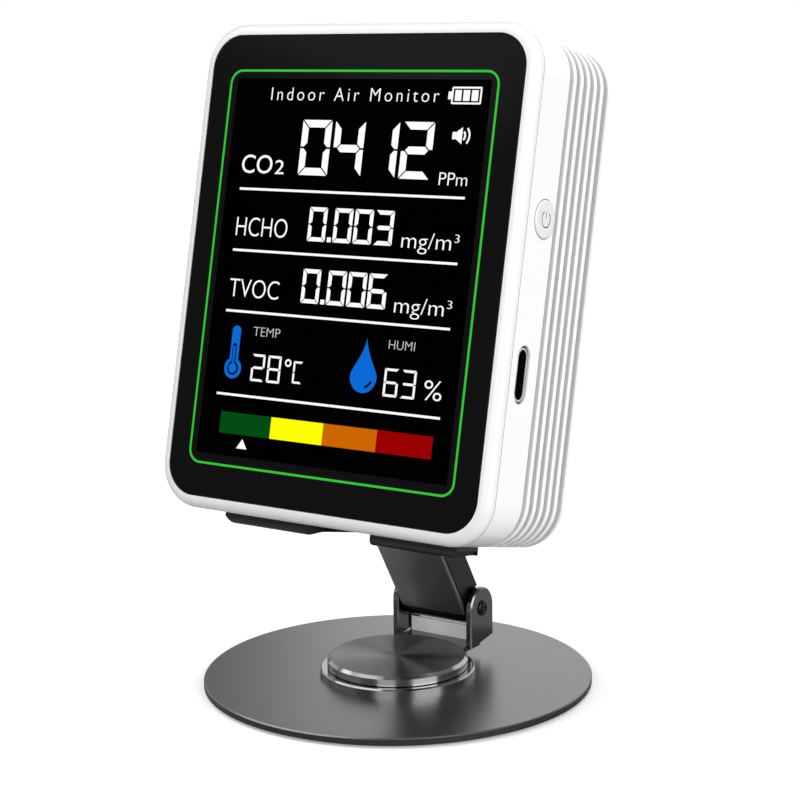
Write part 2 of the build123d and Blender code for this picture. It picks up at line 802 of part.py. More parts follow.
with BuildPart() as battery:
    slab(battery_width, battery_height, battery_corner, foam_back, foam_back + battery_thickness,
         centre=battery_centre)
    fillet(battery.faces().sort_by(towards_screen)[0].edges(), radius=battery_edge)
    fillet(battery.faces().sort_by(towards_screen)[-1].edges(), radius=battery_edge)
save(battery, "battery")

# Infrared carbon dioxide cell: a can with a row of breathing holes.
can_width = 24.0
can_height = 18.0
can_back = board_back + 8.0
can_centre = (-13.0, 27.0)
breathing_radius = 0.8
breathing_depth = 1.2
with BuildPart() as co2_sensor:
    slab(can_width, can_height, 1.5, board_back, can_back, centre=can_centre)
    with BuildSketch(at_depth(can_back)):
        with Locations(can_centre):
            with GridLocations(3.2, 5.0, 6, 2):
                Circle(breathing_radius)
    extrude(amount=breathing_depth, mode=Mode.SUBTRACT)
save(co2_sensor, "co2_sensor")

# Electrochemical formaldehyde cell: a drum with a smaller breathing cap.
cell_centre = (10.0, 27.0)
cell_back = board_back + 6.0
cap_back = cell_back + 1.2
with BuildPart() as formaldehyde_sensor:
    drum(7.0, board_back, cell_back, centre=cell_centre)
    drum(4.0, cell_back, cap_back, centre=cell_centre)
    drum(1.6, cap_back - 0.6, cap_back, centre=cell_centre, mode=Mode.SUBTRACT)
save(formaldehyde_sensor, "formaldehyde_sensor")

# Metal-oxide cell for volatile organic compounds.
voc_centre = (23.5, 24.0)
voc_flange = board_back + 1.0
with BuildPart() as voc_sensor:
    drum(4.7, board_back, voc_flange, centre=voc_centre)
    drum(4.1, voc_flange, voc_flange + 5.4, centre=voc_centre)
save(voc_sensor, "voc_sensor")

# Temperature and humidity chip with its opening.
climate_centre = (23.0, -33.0)
climate_back = board_back + 1.1
with BuildPart() as climate_sensor:
    slab(3.0, 3.0, chip_corner, board_back, climate_back, centre=climate_centre)
    drum(0.8, climate_back - 0.5, climate_back, centre=climate_centre, mode=Mode.SUBTRACT)
save(climate_sensor, "climate_sensor")

buzzer_centre = (21.5, -14.0)
buzzer_back = board_back + 4.5
with BuildPart() as buzzer:
    drum(4.5, board_back, buzzer_back, centre=buzzer_centre)
    drum(1.0, buzzer_back - 1.0, buzzer_back, centre=buzzer_centre, mode=Mode.SUBTRACT)
save(buzzer, "buzzer")

# ---------------------------------------------------------------------------
# Monitor: charging port and side button
# ---------------------------------------------------------------------------
port_recess = 0.35
port_reach = 7.3
tongue_length = 5.0
tongue_width = 6.65
tongue_thickness = 0.7
tongue_edge = 0.15
port_mouth = body_half - port_recess
port_root = port_mouth - port_reach
port_back_wall = 0.8
with BuildPart() as usb_shell:
    with BuildSketch(monitor_side(port_root)):
        with Locations((port_depth, port_height)):
            SlotOverall(port_length, port_width, rotation=90)
    extrude(amount=port_reach)
    with BuildSketch(monitor_side(port_root + port_back_wall)):
        with Locations((port_depth, port_height)):
            SlotOverall(port_length - 2 * port_wall, port_width - 2 * port_wall, rotation=90)
    extrude(amount=port_reach, mode=Mode.SUBTRACT)
save(usb_shell, "usb_shell")

with BuildPart() as usb_tongue:
    with BuildSketch(monitor_side(port_root + port_back_wall)):
        with Locations((port_depth, port_height)):
            Rectangle(tongue_thickness, tongue_width)
    extrude(amount=tongue_length)
    chamfer(usb_tongue.faces().sort_by(Axis.X)[-1].edges(), length=tongue_edge)
save(usb_tongue, "usb_tongue")

# Tactile switch on the board's front face, with its plunger towards the button.
switch_depth = 6.45
switch_start = 21.5
switch_size = 6.0
switch_end = switch_start + switch_size
plunger_width = 1.4
plunger_height = 2.2
plunger_tip = 29.0
with BuildPart() as side_switch:
    with BuildSketch(monitor_side(switch_start)):
        with Locations((switch_depth, button_height)):
            Rectangle(2 * (board_front - switch_depth), switch_size)
    extrude(amount=switch_size)
    with BuildSketch(monitor_side(switch_end)):
        with Locations((switch_depth, button_height)):
            Rectangle(plunger_width, plunger_height)
    extrude(amount=plunger_tip - switch_end)
save(side_switch, "side_switch")

# Round push button: cap, flange behind the wall, and stem towards the switch.
button_stand = 0.3
button_travel = 0.45
button_round = 0.35
button_slack = 0.1
flange_radius = 4.0
flange_thickness = 0.9
flange_front = body_half - wall - button_slack
flange_back = flange_front - flange_thickness
stem_radius = 1.4
stem_end = plunger_tip + button_travel + button_slack
button_centre = (button_depth, button_height)
with BuildPart() as side_button:
    rod(monitor_side(flange_front), button_radius, body_half + button_stand - flange_front,
        centre=button_centre)
    fillet(side_button.faces().sort_by(Axis.X)[-1].edges(), radius=button_round)
    rod(monitor_side(flange_back), flange_radius, flange_front - flange_back,
        centre=button_centre)
    rod(monitor_side(stem_end), stem_radius, flange_back - stem_end, centre=button_centre)
save(side_button, "side_button")
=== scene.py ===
"""Looks for a desk air quality monitor on a folding, turning metal stand.

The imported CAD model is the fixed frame. This script dresses every CAD node with a procedural finish,
draws the lit screen, adds the small pieces that CAD leaves plain, and sets up the studio.
Everything is in metres in the part's own frame: +Z up, the screen faces -Y.
"""

import json
import logging
from dataclasses import dataclass, field
from enum import Enum
from math import cos, pi, radians, sin
from typing import Any, Sequence

import bmesh
import bpy
from mathutils import Matrix, Vector


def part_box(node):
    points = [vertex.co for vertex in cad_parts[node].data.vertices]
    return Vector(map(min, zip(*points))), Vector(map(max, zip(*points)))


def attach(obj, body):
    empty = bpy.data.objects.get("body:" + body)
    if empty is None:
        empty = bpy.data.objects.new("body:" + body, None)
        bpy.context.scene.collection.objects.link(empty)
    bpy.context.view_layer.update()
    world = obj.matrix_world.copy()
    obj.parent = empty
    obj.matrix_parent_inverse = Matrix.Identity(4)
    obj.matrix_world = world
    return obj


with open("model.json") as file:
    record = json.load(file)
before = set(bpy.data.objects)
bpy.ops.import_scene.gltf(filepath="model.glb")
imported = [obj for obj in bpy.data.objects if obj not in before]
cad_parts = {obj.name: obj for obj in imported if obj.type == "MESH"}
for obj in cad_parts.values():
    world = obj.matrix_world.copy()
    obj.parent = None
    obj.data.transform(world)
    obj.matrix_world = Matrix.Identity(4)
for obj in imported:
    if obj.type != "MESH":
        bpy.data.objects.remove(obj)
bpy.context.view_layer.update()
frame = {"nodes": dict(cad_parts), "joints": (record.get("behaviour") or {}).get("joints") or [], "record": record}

log = logging.getLogger("air_quality_monitor")
MM = 0.001
WAVE_PERIODS = 20
SHARP_ANGLE = radians(35)
Point = tuple[float, float]
Box = tuple[float, float, float, float]


# ---------------------------------------------------------------------------
# Finishes
# ---------------------------------------------------------------------------
def linear(hex_colour: str) -> tuple[float, float, float, float]:
    """Turn an sRGB hex colour into linear RGBA.

    Args:
        hex_colour: Six hex digits, with or without a leading #.

    Returns:
        Red, green, blue and an alpha of 1.
    """
    digits = hex_colour.lstrip("#")
    channels = [int(digits[i:i + 2], 16) / 255 for i in (0, 2, 4)]
    red, green, blue = (
        c / 12.92 if c <= 0.04045 else ((c + 0.055) / 1.055) ** 2.4 for c in channels
    )
    return (red, green, blue, 1.0)


def add_node(
    tree: bpy.types.NodeTree,
    kind: str,
    inputs: dict[Any, Any] | None = None,
    **settings: Any,
) -> bpy.types.Node:
    """Add a shader node with its settings, values and links.

    Args:
        tree: The material's node tree.
        kind: Blender's name of the node type.
        inputs: Socket name or index to a value, or to an output socket to link from.
        **settings: Properties of the node itself.

    Returns:
        The new node.
    """
    node = tree.nodes.new(kind)
    for name, value in settings.items():
        setattr(node, name, value)
    for key, value in (inputs or {}).items():
        if isinstance(value, bpy.types.NodeSocket):
            tree.links.new(value, node.inputs[key])
        else:
            node.inputs[key].default_value = value
    return node


def mix_over(
    tree: bpy.types.NodeTree,
    surface: bpy.types.Node,
    socket: str,
    share: bpy.types.NodeSocket,
    value: Any,
) -> None:
    """Blend a second value into a shader input that already has a link.

    Args:
        tree: The material's node tree.
        surface: The shader node.
        socket: The input's name.
        share: How much of the second value shows, from 0 to 1.
        value: The second value, a number or a linear colour.
    """
    kind = "RGBA" if isinstance(value, tuple) else "FLOAT"
    first = surface.inputs[socket].links[0].from_socket
    mixed = add_node(
        tree, "ShaderNodeMix", {"Factor": share, "A": first, "B": value}, data_type=kind
    )
    tree.links.new(mixed.outputs["Result"], surface.inputs[socket])


def from_axes(x_axis: Vector, y_axis: Vector, z_axis: Vector, origin: Vector) -> Matrix:
    """Build the matrix that lays a shape along three directions.

    Args:
        x_axis: Where the shape's X goes, with its scale as length.
        y_axis: Where its Y goes.
        z_axis: Where its Z goes.
        origin: Where its origin goes.

    Returns:
        The matrix.
    """
    place = Matrix.Identity(4)
    for column, axis in enumerate((x_axis, y_axis, z_axis, origin)):
        for row in range(3):
            place[row][column] = axis[row]
    return place


class Grain(Enum):
    """How a surface's fine pattern runs."""

    SPECKLE = "cloudy or sandy, the same in every direction"
    BRUSHED = "fine scratches along X"
    SPUN = "fine circles about the Z axis"
    WOVEN = "crossed threads"


@dataclass(frozen=True)
class Finish:
    """A procedural finish: one colour drifting to a second, a fine grain and a gloss.

    Attributes:
        name: Common name of the real material and how its surface was made.
        colour: Main colour, sRGB hex.
        drift: Second colour that the grain mixes in, sRGB hex.
        metallic: 1 for bare or plated metal.
        roughness: Mean roughness.
        rough_swing: How far the grain moves the roughness up and down.
        grain: Direction of the pattern.
        grain_mm: Size of the pattern on the real thing.
        bump_mm: Height of the pattern.
        cloud_mm: Size of the slow variation in colour and gloss.
        coat: Weight of a clear coat.
        anisotropy: Stretch of the highlight, for spun metal.
        stretch_turn: Turn of that stretch. A quarter runs it across circular scratches.
        specular: Specular level. Metals and most plastics keep 0.5.
        ior: Index of refraction.
        glow: Strength of the light that the surface gives off.
        glow_colour: Colour of that light, sRGB hex.
        grain_share: How much of the second colour's mask is grain. The rest is cloud.
        scratch_squash: Scale along a brushed scratch, below 1 to draw it out.
        lowest_roughness: Floor under the roughness swing.
        coat_roughness: Roughness of the clear coat.
        bump_strength: Share of the bump that shows.
    """

    name: str
    colour: str
    drift: str
    metallic: float = 0.0
    roughness: float = 0.4
    rough_swing: float = 0.05
    grain: Grain = Grain.SPECKLE
    grain_mm: float = 0.5
    bump_mm: float = 0.0
    cloud_mm: float = 18.0
    coat: float = 0.0
    anisotropy: float = 0.0
    stretch_turn: float = 0.25
    specular: float = 0.5
    ior: float = 1.5
    glow: float = 0.0
    glow_colour: str = "#000000"
    grain_share: float = 0.35
    scratch_squash: float = 0.04
    lowest_roughness: float = 0.02
    coat_roughness: float = 0.04
    bump_strength: float = 0.6

    def pattern(self, tree: bpy.types.NodeTree, coords: bpy.types.NodeSocket) -> bpy.types.NodeSocket:
        """Build the fine grain.

        Args:
            tree: The material's node tree.
            coords: Object coordinates, in metres.

        Returns:
            A socket from 0 to 1.
        """
        per_metre = 1 / (self.grain_mm * MM)
        waves = per_metre / WAVE_PERIODS
        if self.grain is Grain.SPUN:
            return add_node(
                tree, "ShaderNodeTexWave", {"Vector": coords, "Scale": waves, "Distortion": 0.0},
                wave_type="RINGS", rings_direction="Z", wave_profile="SIN",
            ).outputs["Fac"]
        if self.grain is Grain.WOVEN:
            threads = [
                add_node(
                    tree, "ShaderNodeTexWave", {"Vector": coords, "Scale": waves},
                    wave_type="BANDS", bands_direction=direction, wave_profile="SIN",
                ).outputs["Fac"]
                for direction in ("X", "Z")
            ]
            return add_node(
                tree, "ShaderNodeMath", {0: threads[0], 1: threads[1]}, operation="MULTIPLY"
            ).outputs[0]
        along = self.scratch_squash if self.grain is Grain.BRUSHED else 1.0
        placed = add_node(tree, "ShaderNodeMapping", {"Vector": coords, "Scale": (along, 1.0, 1.0)})
        return add_node(
            tree, "ShaderNodeTexNoise",
            {"Vector": placed.outputs[0], "Scale": per_metre, "Detail": 3.0, "Roughness": 0.55},
        ).outputs["Fac"]

    def colour_mask(
        self, tree: bpy.types.NodeTree, coords: bpy.types.NodeSocket, grain: bpy.types.NodeSocket
    ) -> bpy.types.NodeSocket:
        """Mix slow cloudiness with the grain into the share of the second colour."""
        cloud = add_node(
            tree, "ShaderNodeTexNoise",
            {"Vector": coords, "Scale": 1 / (self.cloud_mm * MM), "Detail": 2.0},
        )
        return add_node(
            tree, "ShaderNodeMix",
            {"Factor": self.grain_share, "A": cloud.outputs["Fac"], "B": grain}, data_type="FLOAT",
        ).outputs["Result"]

    def build(self) -> bpy.types.Material:
        """Make the material.

        Returns:
            A new node material.
        """
        material = bpy.data.materials.new(self.name.replace(" ", "_"))
        material.use_nodes = True
        tree = material.node_tree
        tree.nodes.clear()
        coords = add_node(tree, "ShaderNodeTexCoord").outputs["Object"]
        grain = self.pattern(tree, coords)
        mask = self.colour_mask(tree, coords, grain)
        colour = add_node(
            tree, "ShaderNodeMix",
            {"Factor": mask, "A": linear(self.colour), "B": linear(self.drift)}, data_type="RGBA",
        )
        gloss = add_node(
            tree, "ShaderNodeMapRange",
            {
                "Value": mask,
                "To Min": max(self.lowest_roughness, self.roughness - self.rough_swing),
                "To Max": self.roughness + self.rough_swing,
            },
        )
        sockets: dict[Any, Any] = {
            "Base Color": colour.outputs["Result"],
            "Roughness": gloss.outputs["Result"],
            "Metallic": self.metallic,
            "IOR": self.ior,
            "Specular IOR Level": self.specular,
            "Coat Weight": self.coat,
            "Coat Roughness": self.coat_roughness,
            "Anisotropic": self.anisotropy,
            "Anisotropic Rotation": self.stretch_turn,
            "Emission Color": linear(self.glow_colour),
            "Emission Strength": self.glow,
        }
        if self.bump_mm:
            sockets["Normal"] = add_node(
                tree, "ShaderNodeBump",
                {"Height": grain, "Strength": self.bump_strength, "Distance": self.bump_mm * MM},
            ).outputs["Normal"]
        if self.anisotropy:
            sockets["Tangent"] = add_node(
                tree, "ShaderNodeTangent", direction_type="RADIAL", axis="Z"
            ).outputs["Tangent"]
        surface = add_node(tree, "ShaderNodeBsdfPrincipled", sockets)
        add_node(tree, "ShaderNodeOutputMaterial", {"Surface": surface.outputs[0]})
        self.adjust(tree, coords, surface)
        return material

    def adjust(
        self, tree: bpy.types.NodeTree, coords: bpy.types.NodeSocket, surface: bpy.types.Node
    ) -> None:
        """Hook for a finish that changes along the piece. The plain finish leaves it as it is."""


@dataclass(frozen=True)
class RibbedFinish(Finish):
    """Moulded gloss whose grooves, and the parting line to the bezel, are painted grey as shade, with real satin
    roughness in the grooves; it reads as soft grey lines between white ribs.

    Attributes:
        tilt: How far the grooves' plane leans back, in radians.
        origin: A point on the glass face.
        band_end_mm: Depth behind the glass where the first groove starts.
        pitch_mm: From one groove to the next.
        groove_mm: Width of a groove.
        groove_shade_colour: Painted shade colour in the grooves and at the parting line, sRGB hex.
        groove_roughness: Roughness in the grooves.
        seam_mm: Depth behind the glass where the painted shade of the parting line to the bezel ends.
        edge_mm: How far the grey stays inside a groove's edges.
    """

    tilt: float = 0.0
    origin: tuple[float, float, float] = (0.0, 0.0, 0.0)
    band_end_mm: float = 11.0
    pitch_mm: float = 2.4
    groove_mm: float = 1.4
    groove_shade_colour: str = "#5C5D5F"
    groove_roughness: float = 0.55
    seam_mm: float = 2.24
    edge_mm: float = 0.02

    def adjust(
        self, tree: bpy.types.NodeTree, coords: bpy.types.NodeSocket, surface: bpy.types.Node
    ) -> None:
        """Mix the painted shade colour and the grooves' satin roughness in by depth behind the glass."""
        moved = add_node(
            tree, "ShaderNodeVectorMath", {0: coords, 1: self.origin}, operation="SUBTRACT"
        )
        depth = add_node(
            tree, "ShaderNodeVectorMath",
            {0: moved.outputs["Vector"], 1: (0.0, cos(self.tilt), -sin(self.tilt))},
            operation="DOT_PRODUCT",
        ).outputs["Value"]

        def compute(operation: str, first: Any, second: Any) -> bpy.types.NodeSocket:
            """Combine two sockets or numbers."""
            node = add_node(tree, "ShaderNodeMath", {0: first, 1: second}, operation=operation)
            return node.outputs[0]

        from_first = compute("SUBTRACT", depth, self.band_end_mm * MM)
        in_pitch = compute("FLOORED_MODULO", from_first, self.pitch_mm * MM)
        inside = compute("LESS_THAN", in_pitch, (self.groove_mm - self.edge_mm) * MM)
        behind = compute("GREATER_THAN", from_first, self.edge_mm * MM)
        at_seam = compute("LESS_THAN", depth, self.seam_mm * MM)
        # painted shade: grooves and the parting line take the grey colour; the roughness in the grooves is the
        # real satin
        groove = compute("MAXIMUM", compute("MULTIPLY", inside, behind), at_seam)
        mix_over(tree, surface, "Base Color", groove, linear(self.groove_shade_colour))
        mix_over(tree, surface, "Roughness", groove, self.groove_roughness)


@dataclass(frozen=True)
class RimFinish(Finish):
    """A flat metal top with a rim of another shade below a height.

    Attributes:
        rim_colour: Colour of the rim, sRGB hex.
        rim_roughness: Roughness of the rim.
        rim_top: Height where the rim ends and the top begins, in metres.
    """

    rim_colour: str = "#4A443F"
    rim_roughness: float = 0.4
    rim_top: float = 0.0

    def adjust(
        self, tree: bpy.types.NodeTree, coords: bpy.types.NodeSocket, surface: bpy.types.Node
    ) -> None:
        """Mix the rim's colour and roughness in by height."""
        height = add_node(tree, "ShaderNodeSeparateXYZ", {0: coords}).outputs["Z"]
        rim = add_node(
            tree, "ShaderNodeMath", {0: height, 1: self.rim_top}, operation="LESS_THAN"
        ).outputs[0]
        mix_over(tree, surface, "Base Color", rim, linear(self.rim_colour))
        mix_over(tree, surface, "Roughness", rim, self.rim_roughness)


# Finishes by the record's material slot. Grain finer than a render shows is drawn as coarse as shows.
SLOT_FINISHES: dict[str, Finish] = {
    # float glass printed black on its back, anti-reflection coated: deep black, barely any mirror
    "black_glass": Finish("printed black glass", "#101011", "#0E0E0F", roughness=0.1,
                          rough_swing=0.03, specular=0.04, ior=1.52),
    # liquid crystal cell behind the glass
    "display_black": Finish("liquid crystal cell", "#050506", "#070708", roughness=0.2, specular=0.3),
    # injection-moulded gloss ABS: an even white with a slight orange peel
    "white_gloss": Finish("moulded gloss ABS", "#F4F4F3", "#EFF0F0", roughness=0.22, rough_swing=0.04,
                          grain_mm=1.6, bump_mm=0.004, coat=0.2, ior=1.54),
    # the same ABS from a spark-eroded tool: a fine sandy satin
    "white_satin": Finish("moulded satin ABS", "#EEEEEC", "#E6E7E7", roughness=0.42, grain_mm=0.35,
                          bump_mm=0.012, ior=1.54),
    # separate push button, a shade greyer than the casing
    "button_plastic": Finish("moulded button ABS", "#E4E4E5", "#DEDEDF", roughness=0.24, grain_mm=0.6,
                             bump_mm=0.003, coat=0.15, ior=1.54),
    # bead-blasted steel under dark nickel: satin, so reflections smear
    "base_steel": Finish("blasted nickel-plated steel", "#737273", "#777677", metallic=1.0,
                         roughness=0.3, rough_swing=0.015, grain_mm=0.3, bump_mm=0.0008, cloud_mm=30.0),
    # polished zinc alloy under black nickel: dark mirror with faint wipe marks
    "gunmetal": Finish("polished black-nickel alloy", "#747476", "#6A6A6C", metallic=1.0,
                       roughness=0.2, rough_swing=0.05, grain=Grain.BRUSHED, grain_mm=0.3,
                       bump_mm=0.0006, cloud_mm=9.0),
    # lathe-spun aluminium under black nickel: circular scratches that pull light into wedges
    "spun_metal": Finish("spun black-nickel aluminium", "#747476", "#707072", metallic=1.0,
                         roughness=0.36, rough_swing=0.008, grain=Grain.SPUN, grain_mm=0.3,
                         bump_mm=0.0001, anisotropy=0.95, cloud_mm=60.0),
    # turned steel pins, dark plated
    "pin_steel": Finish("turned dark-plated steel", "#3A3A3D", "#313134", metallic=1.0, roughness=0.22,
                        grain_mm=0.4, bump_mm=0.002),
    # matt rubber sheet
    "rubber_black": Finish("matt rubber sheet", "#1B1B1B", "#232323", roughness=0.8, grain_mm=0.5,
                           bump_mm=0.03, specular=0.3),
    # silicone pad, slightly dusty
    "silicone_grey": Finish("moulded silicone", "#2A2A2C", "#333335", roughness=0.62, grain_mm=0.6,
                            bump_mm=0.02, specular=0.35, ior=1.41),
    "washer_plastic": Finish("moulded nylon", "#1E1E1F", "#262627", roughness=0.5, grain_mm=0.5,
                             bump_mm=0.01),
    # solder mask over glass weave
    "circuit_green": Finish("solder-masked circuit board", "#0F5A2C", "#0A4421", roughness=0.35,
                            grain=Grain.WOVEN, grain_mm=0.9, bump_mm=0.01, coat=0.4),
    "chip_black": Finish("moulded epoxy", "#1A1A1C", "#242426", roughness=0.55, grain_mm=0.3,
                         bump_mm=0.006),
    # crinkled foil pouch
    "battery_wrap": Finish("foil battery pouch", "#A9ABAE", "#8F9194", metallic=1.0, roughness=0.35,
                           grain_mm=3.5, bump_mm=0.12),
    "foam_grey": Finish("closed-cell foam", "#3C3C3E", "#2C2C2E", roughness=0.95, grain_mm=0.7,
                        bump_mm=0.08, specular=0.1),
    "tape_black": Finish("acrylic tape", "#161616", "#1E1E1E", roughness=0.6, grain_mm=0.8,
                         bump_mm=0.01),
    "sensor_metal": Finish("pressed aluminium can", "#B9B8B4", "#A5A4A1", metallic=1.0, roughness=0.32,
                           grain=Grain.BRUSHED, grain_mm=0.4, bump_mm=0.004),
    "sensor_white": Finish("moulded sensor housing", "#E4E2DC", "#D8D6D0", roughness=0.5, grain_mm=0.4,
                           bump_mm=0.01),
    "backlight_white": Finish("light diffuser film", "#EAEDF2", "#DFE3EA", roughness=0.6, grain_mm=0.5,
                              bump_mm=0.004),
    "ribbon_amber": Finish("polyimide ribbon", "#B3661A", "#9A5412", roughness=0.3,
                           grain=Grain.BRUSHED, grain_mm=0.5, bump_mm=0.004, coat=0.3),
    "mesh_black": Finish("woven dust mesh", "#2E2E30", "#0A0A0B", roughness=0.7, grain=Grain.WOVEN,
                         grain_mm=0.5, bump_mm=0.1),
    "port_steel": Finish("drawn stainless shell", "#4C4C4E", "#424244", metallic=1.0, roughness=0.3,
                         grain=Grain.BRUSHED, grain_mm=0.25, bump_mm=0.002),
    "screw_steel": Finish("zinc-plated steel", "#A7A8AC", "#909196", metallic=1.0, roughness=0.3,
                          grain_mm=0.3, bump_mm=0.004),
}


class Ink(Enum):
    """Colours that the lit screen shows."""

    WHITE = "#FFFFFF"
    DIM_WHITE = "#BFC0C2"
    BLUE = "#0A6AD6"
    LINE_GREEN = "#35C43A"
    GOOD_GREEN = "#004E14"
    FAIR_YELLOW = "#FFFF00"
    POOR_ORANGE = "#CC6600"
    BAD_RED = "#990000"
    UNLIT = "#000000"


class Palette:
    """Makes each material once and hands it out by name."""

    def __init__(self) -> None:
        """Start with nothing made."""
        self.made: dict[str, bpy.types.Material] = {}

    def get(self, finish: Finish) -> bpy.types.Material:
        """Return the finish's material, making it the first time."""
        if finish.name not in self.made:
            self.made[finish.name] = finish.build()
        return self.made[finish.name]

    def ink(self, ink: Ink) -> bpy.types.Material:
        """Return the material of one lit colour of the screen."""
        return self.get(
            Finish(
                f"lit cell {ink.name.lower()}", "#010101", "#020202", roughness=0.12, rough_swing=0.02,
                specular=0.0, glow=1.0, glow_colour=ink.value,
            )
        )


# ---------------------------------------------------------------------------
# Places
# ---------------------------------------------------------------------------
@dataclass(frozen=True)
class ScreenPlane:
    """The glass face: its centre and its directions, all read from the frame.

    Attributes:
        centre: Middle of the glass's front face.
        up: Direction up the screen.
        out: Direction out of the screen, towards the viewer.
    """

    centre: Vector
    up: Vector
    out: Vector

    @classmethod
    def from_frame(cls) -> "ScreenPlane":
        """Read the directions from the lift joint's axis and the face from the glass itself."""
        lift = next(j for j in frame["joints"] if j["name"] == "monitor_lift")
        up = Vector(lift["axis"]).normalized()
        out = Vector((0.0, -up.z, up.y))
        points = [v.co for v in frame["nodes"]["front_glass"].data.vertices]
        heights = [point.dot(up) for point in points]
        middle = (min(heights) + max(heights)) / 2
        return cls(up * middle + out * max(point.dot(out) for point in points), up, out)

    @property
    def tilt(self) -> float:
        """Lean back from upright, in radians."""
        return Vector((0.0, 0.0, 1.0)).angle(self.up)

    def matrix(self, lift_mm: float = 0.0) -> Matrix:
        """Matrix from screen millimetres (right, up, out) to the part's frame in metres."""
        return from_axes(
            Vector((MM, 0.0, 0.0)), self.up * MM, self.out * MM, self.centre + self.out * lift_mm * MM
        )

    def side_matrix(self, face: float, middle: Vector) -> Matrix:
        """Matrix from a drawing to the casing's right side.

        Args:
            face: X of the drawing's plane.
            middle: Its centre. Only Y and Z are used.

        Returns:
            The matrix, in metres, with the drawing's top towards the casing's top.
        """
        outward = Vector((1.0, 0.0, 0.0))
        return from_axes(-self.out, self.up, outward, Vector((face, middle.y, middle.z)))


# ---------------------------------------------------------------------------
# Flat artwork
# ---------------------------------------------------------------------------
class Artwork:
    """Flat shapes drawn in screen millimetres and given a thin closed body."""

    def __init__(self) -> None:
        """Start with an empty drawing."""
        self.bm = bmesh.new()

    def take(self, shape: bmesh.types.BMesh) -> None:
        """Add a finished shape to the drawing and free it."""
        mesh = bpy.data.meshes.new("shape")
        shape.to_mesh(mesh)
        shape.free()
        self.bm.from_mesh(mesh)
        bpy.data.meshes.remove(mesh)

    def polygon(self, points: Sequence[Point]) -> None:
        """Draw a filled outline."""
        shape = bmesh.new()
        shape.faces.new([shape.verts.new((x, y, 0.0)) for x, y in points])
        self.take(shape)

    def bar(self, box: Box, radius: float = 0.0, line: float = 0.0) -> None:
        """Draw a rectangle with round corners, filled or as a line.

        Args:
            box: Left, bottom, right and top.
            radius: Corner radius.
            line: Width of the line inside the edge, or 0 for a filled shape.
        """
        left, bottom, right, top = box
        shape = bmesh.new()
        corners = [(left, bottom), (right, bottom), (right, top), (left, top)]
        shape.faces.new([shape.verts.new((x, y, 0.0)) for x, y in corners])
        if radius:
            bmesh.ops.bevel(
                shape, geom=shape.verts[:], offset=radius, offset_type="OFFSET", affect="VERTICES",
                segments=8, profile=0.5, material=-1,
            )
        if line:
            self.hollow(shape, line)
        self.take(shape)

    def disc(self, centre: Point, radius: float, line: float = 0.0, segments: int = 40) -> None:
        """Draw a filled circle, or a ring when line is its width."""
        shape = bmesh.new()
        place = Matrix.Translation((centre[0], centre[1], 0.0))
        bmesh.ops.create_circle(shape, cap_ends=True, segments=segments, radius=radius, matrix=place)
        if line:
            self.hollow(shape, line)
        self.take(shape)

    @staticmethod
    def hollow(shape: bmesh.types.BMesh, line: float) -> None:
        """Keep only a line of the given width inside the shape's edge."""
        inner = shape.faces[:]
        bmesh.ops.inset_region(
            shape, faces=inner, thickness=line, use_even_offset=True, use_boundary=True
        )
        bmesh.ops.delete(shape, geom=inner, context="FACES_ONLY")

    def arc(self, centre: Point, radius: float, start: float, end: float, line: float) -> None:
        """Draw a curved stroke.

        Args:
            centre: Centre of the arc.
            radius: Inner radius.
            start: First angle from the right, in degrees.
            end: Last angle, in degrees.
            line: Width of the stroke.
        """
        shape = bmesh.new()
        begin = radians(start)
        ends = [
            shape.verts.new((centre[0] + r * cos(begin), centre[1] + r * sin(begin), 0.0))
            for r in (radius, radius + line)
        ]
        edge = shape.edges.new(ends)
        bmesh.ops.spin(
            shape, geom=[*ends, edge], cent=(centre[0], centre[1], 0.0), axis=(0.0, 0.0, 1.0),
            angle=radians(end) - begin, steps=16,
        )
        self.take(shape)

    def drop(self, centre: Point, radius: float, tip: float) -> None:
        """Draw a water drop: a circle whose upper half is drawn out to a point."""
        shape = bmesh.new()
        bmesh.ops.create_circle(shape, cap_ends=True, segments=72, radius=radius)
        for vert in shape.verts:
            rise = max(0.0, vert.co.y / radius)
            vert.co.x *= 1.0 - rise ** 2.6
            vert.co.y += (tip - radius) * rise ** 3
        bmesh.ops.translate(shape, verts=shape.verts[:], vec=(centre[0], centre[1], 0.0))
        self.take(shape)

    def text(self, words: str, box: Box, weight: float = 0.0, spacing: float = 1.0) -> None:
        """Set words in the built-in face and stretch them to a box.

        Args:
            words: What to write.
            box: Left, bottom, right and top of the ink.
            weight: Extra stroke width, as a share of the letter size.
            spacing: Distance between letters, where 1 is normal.
        """
        curve = bpy.data.curves.new("words", "FONT")
        curve.body = words
        curve.offset = weight
        curve.space_character = spacing
        curve.resolution_u = 6
        holder = bpy.data.objects.new("words", curve)
        bpy.context.scene.collection.objects.link(holder)
        bpy.context.view_layer.update()
        mesh = bpy.data.meshes.new_from_object(
            holder.evaluated_get(bpy.context.evaluated_depsgraph_get())
        )
        shape = bmesh.new()
        shape.from_mesh(mesh)
        bpy.data.objects.remove(holder)
        bpy.data.curves.remove(curve)
        bpy.data.meshes.remove(mesh)
        bmesh.ops.remove_doubles(shape, verts=shape.verts[:], dist=1e-5)
        xs = [v.co.x for v in shape.verts]
        ys = [v.co.y for v in shape.verts]
        left, bottom, right, top = box
        wide = (right - left) / (max(xs) - min(xs))
        tall = (top - bottom) / (max(ys) - min(ys))
        for vert in shape.verts:
            vert.co.x = left + (vert.co.x - min(xs)) * wide
            vert.co.y = bottom + (vert.co.y - min(ys)) * tall
            vert.co.z = 0.0
        self.take(shape)

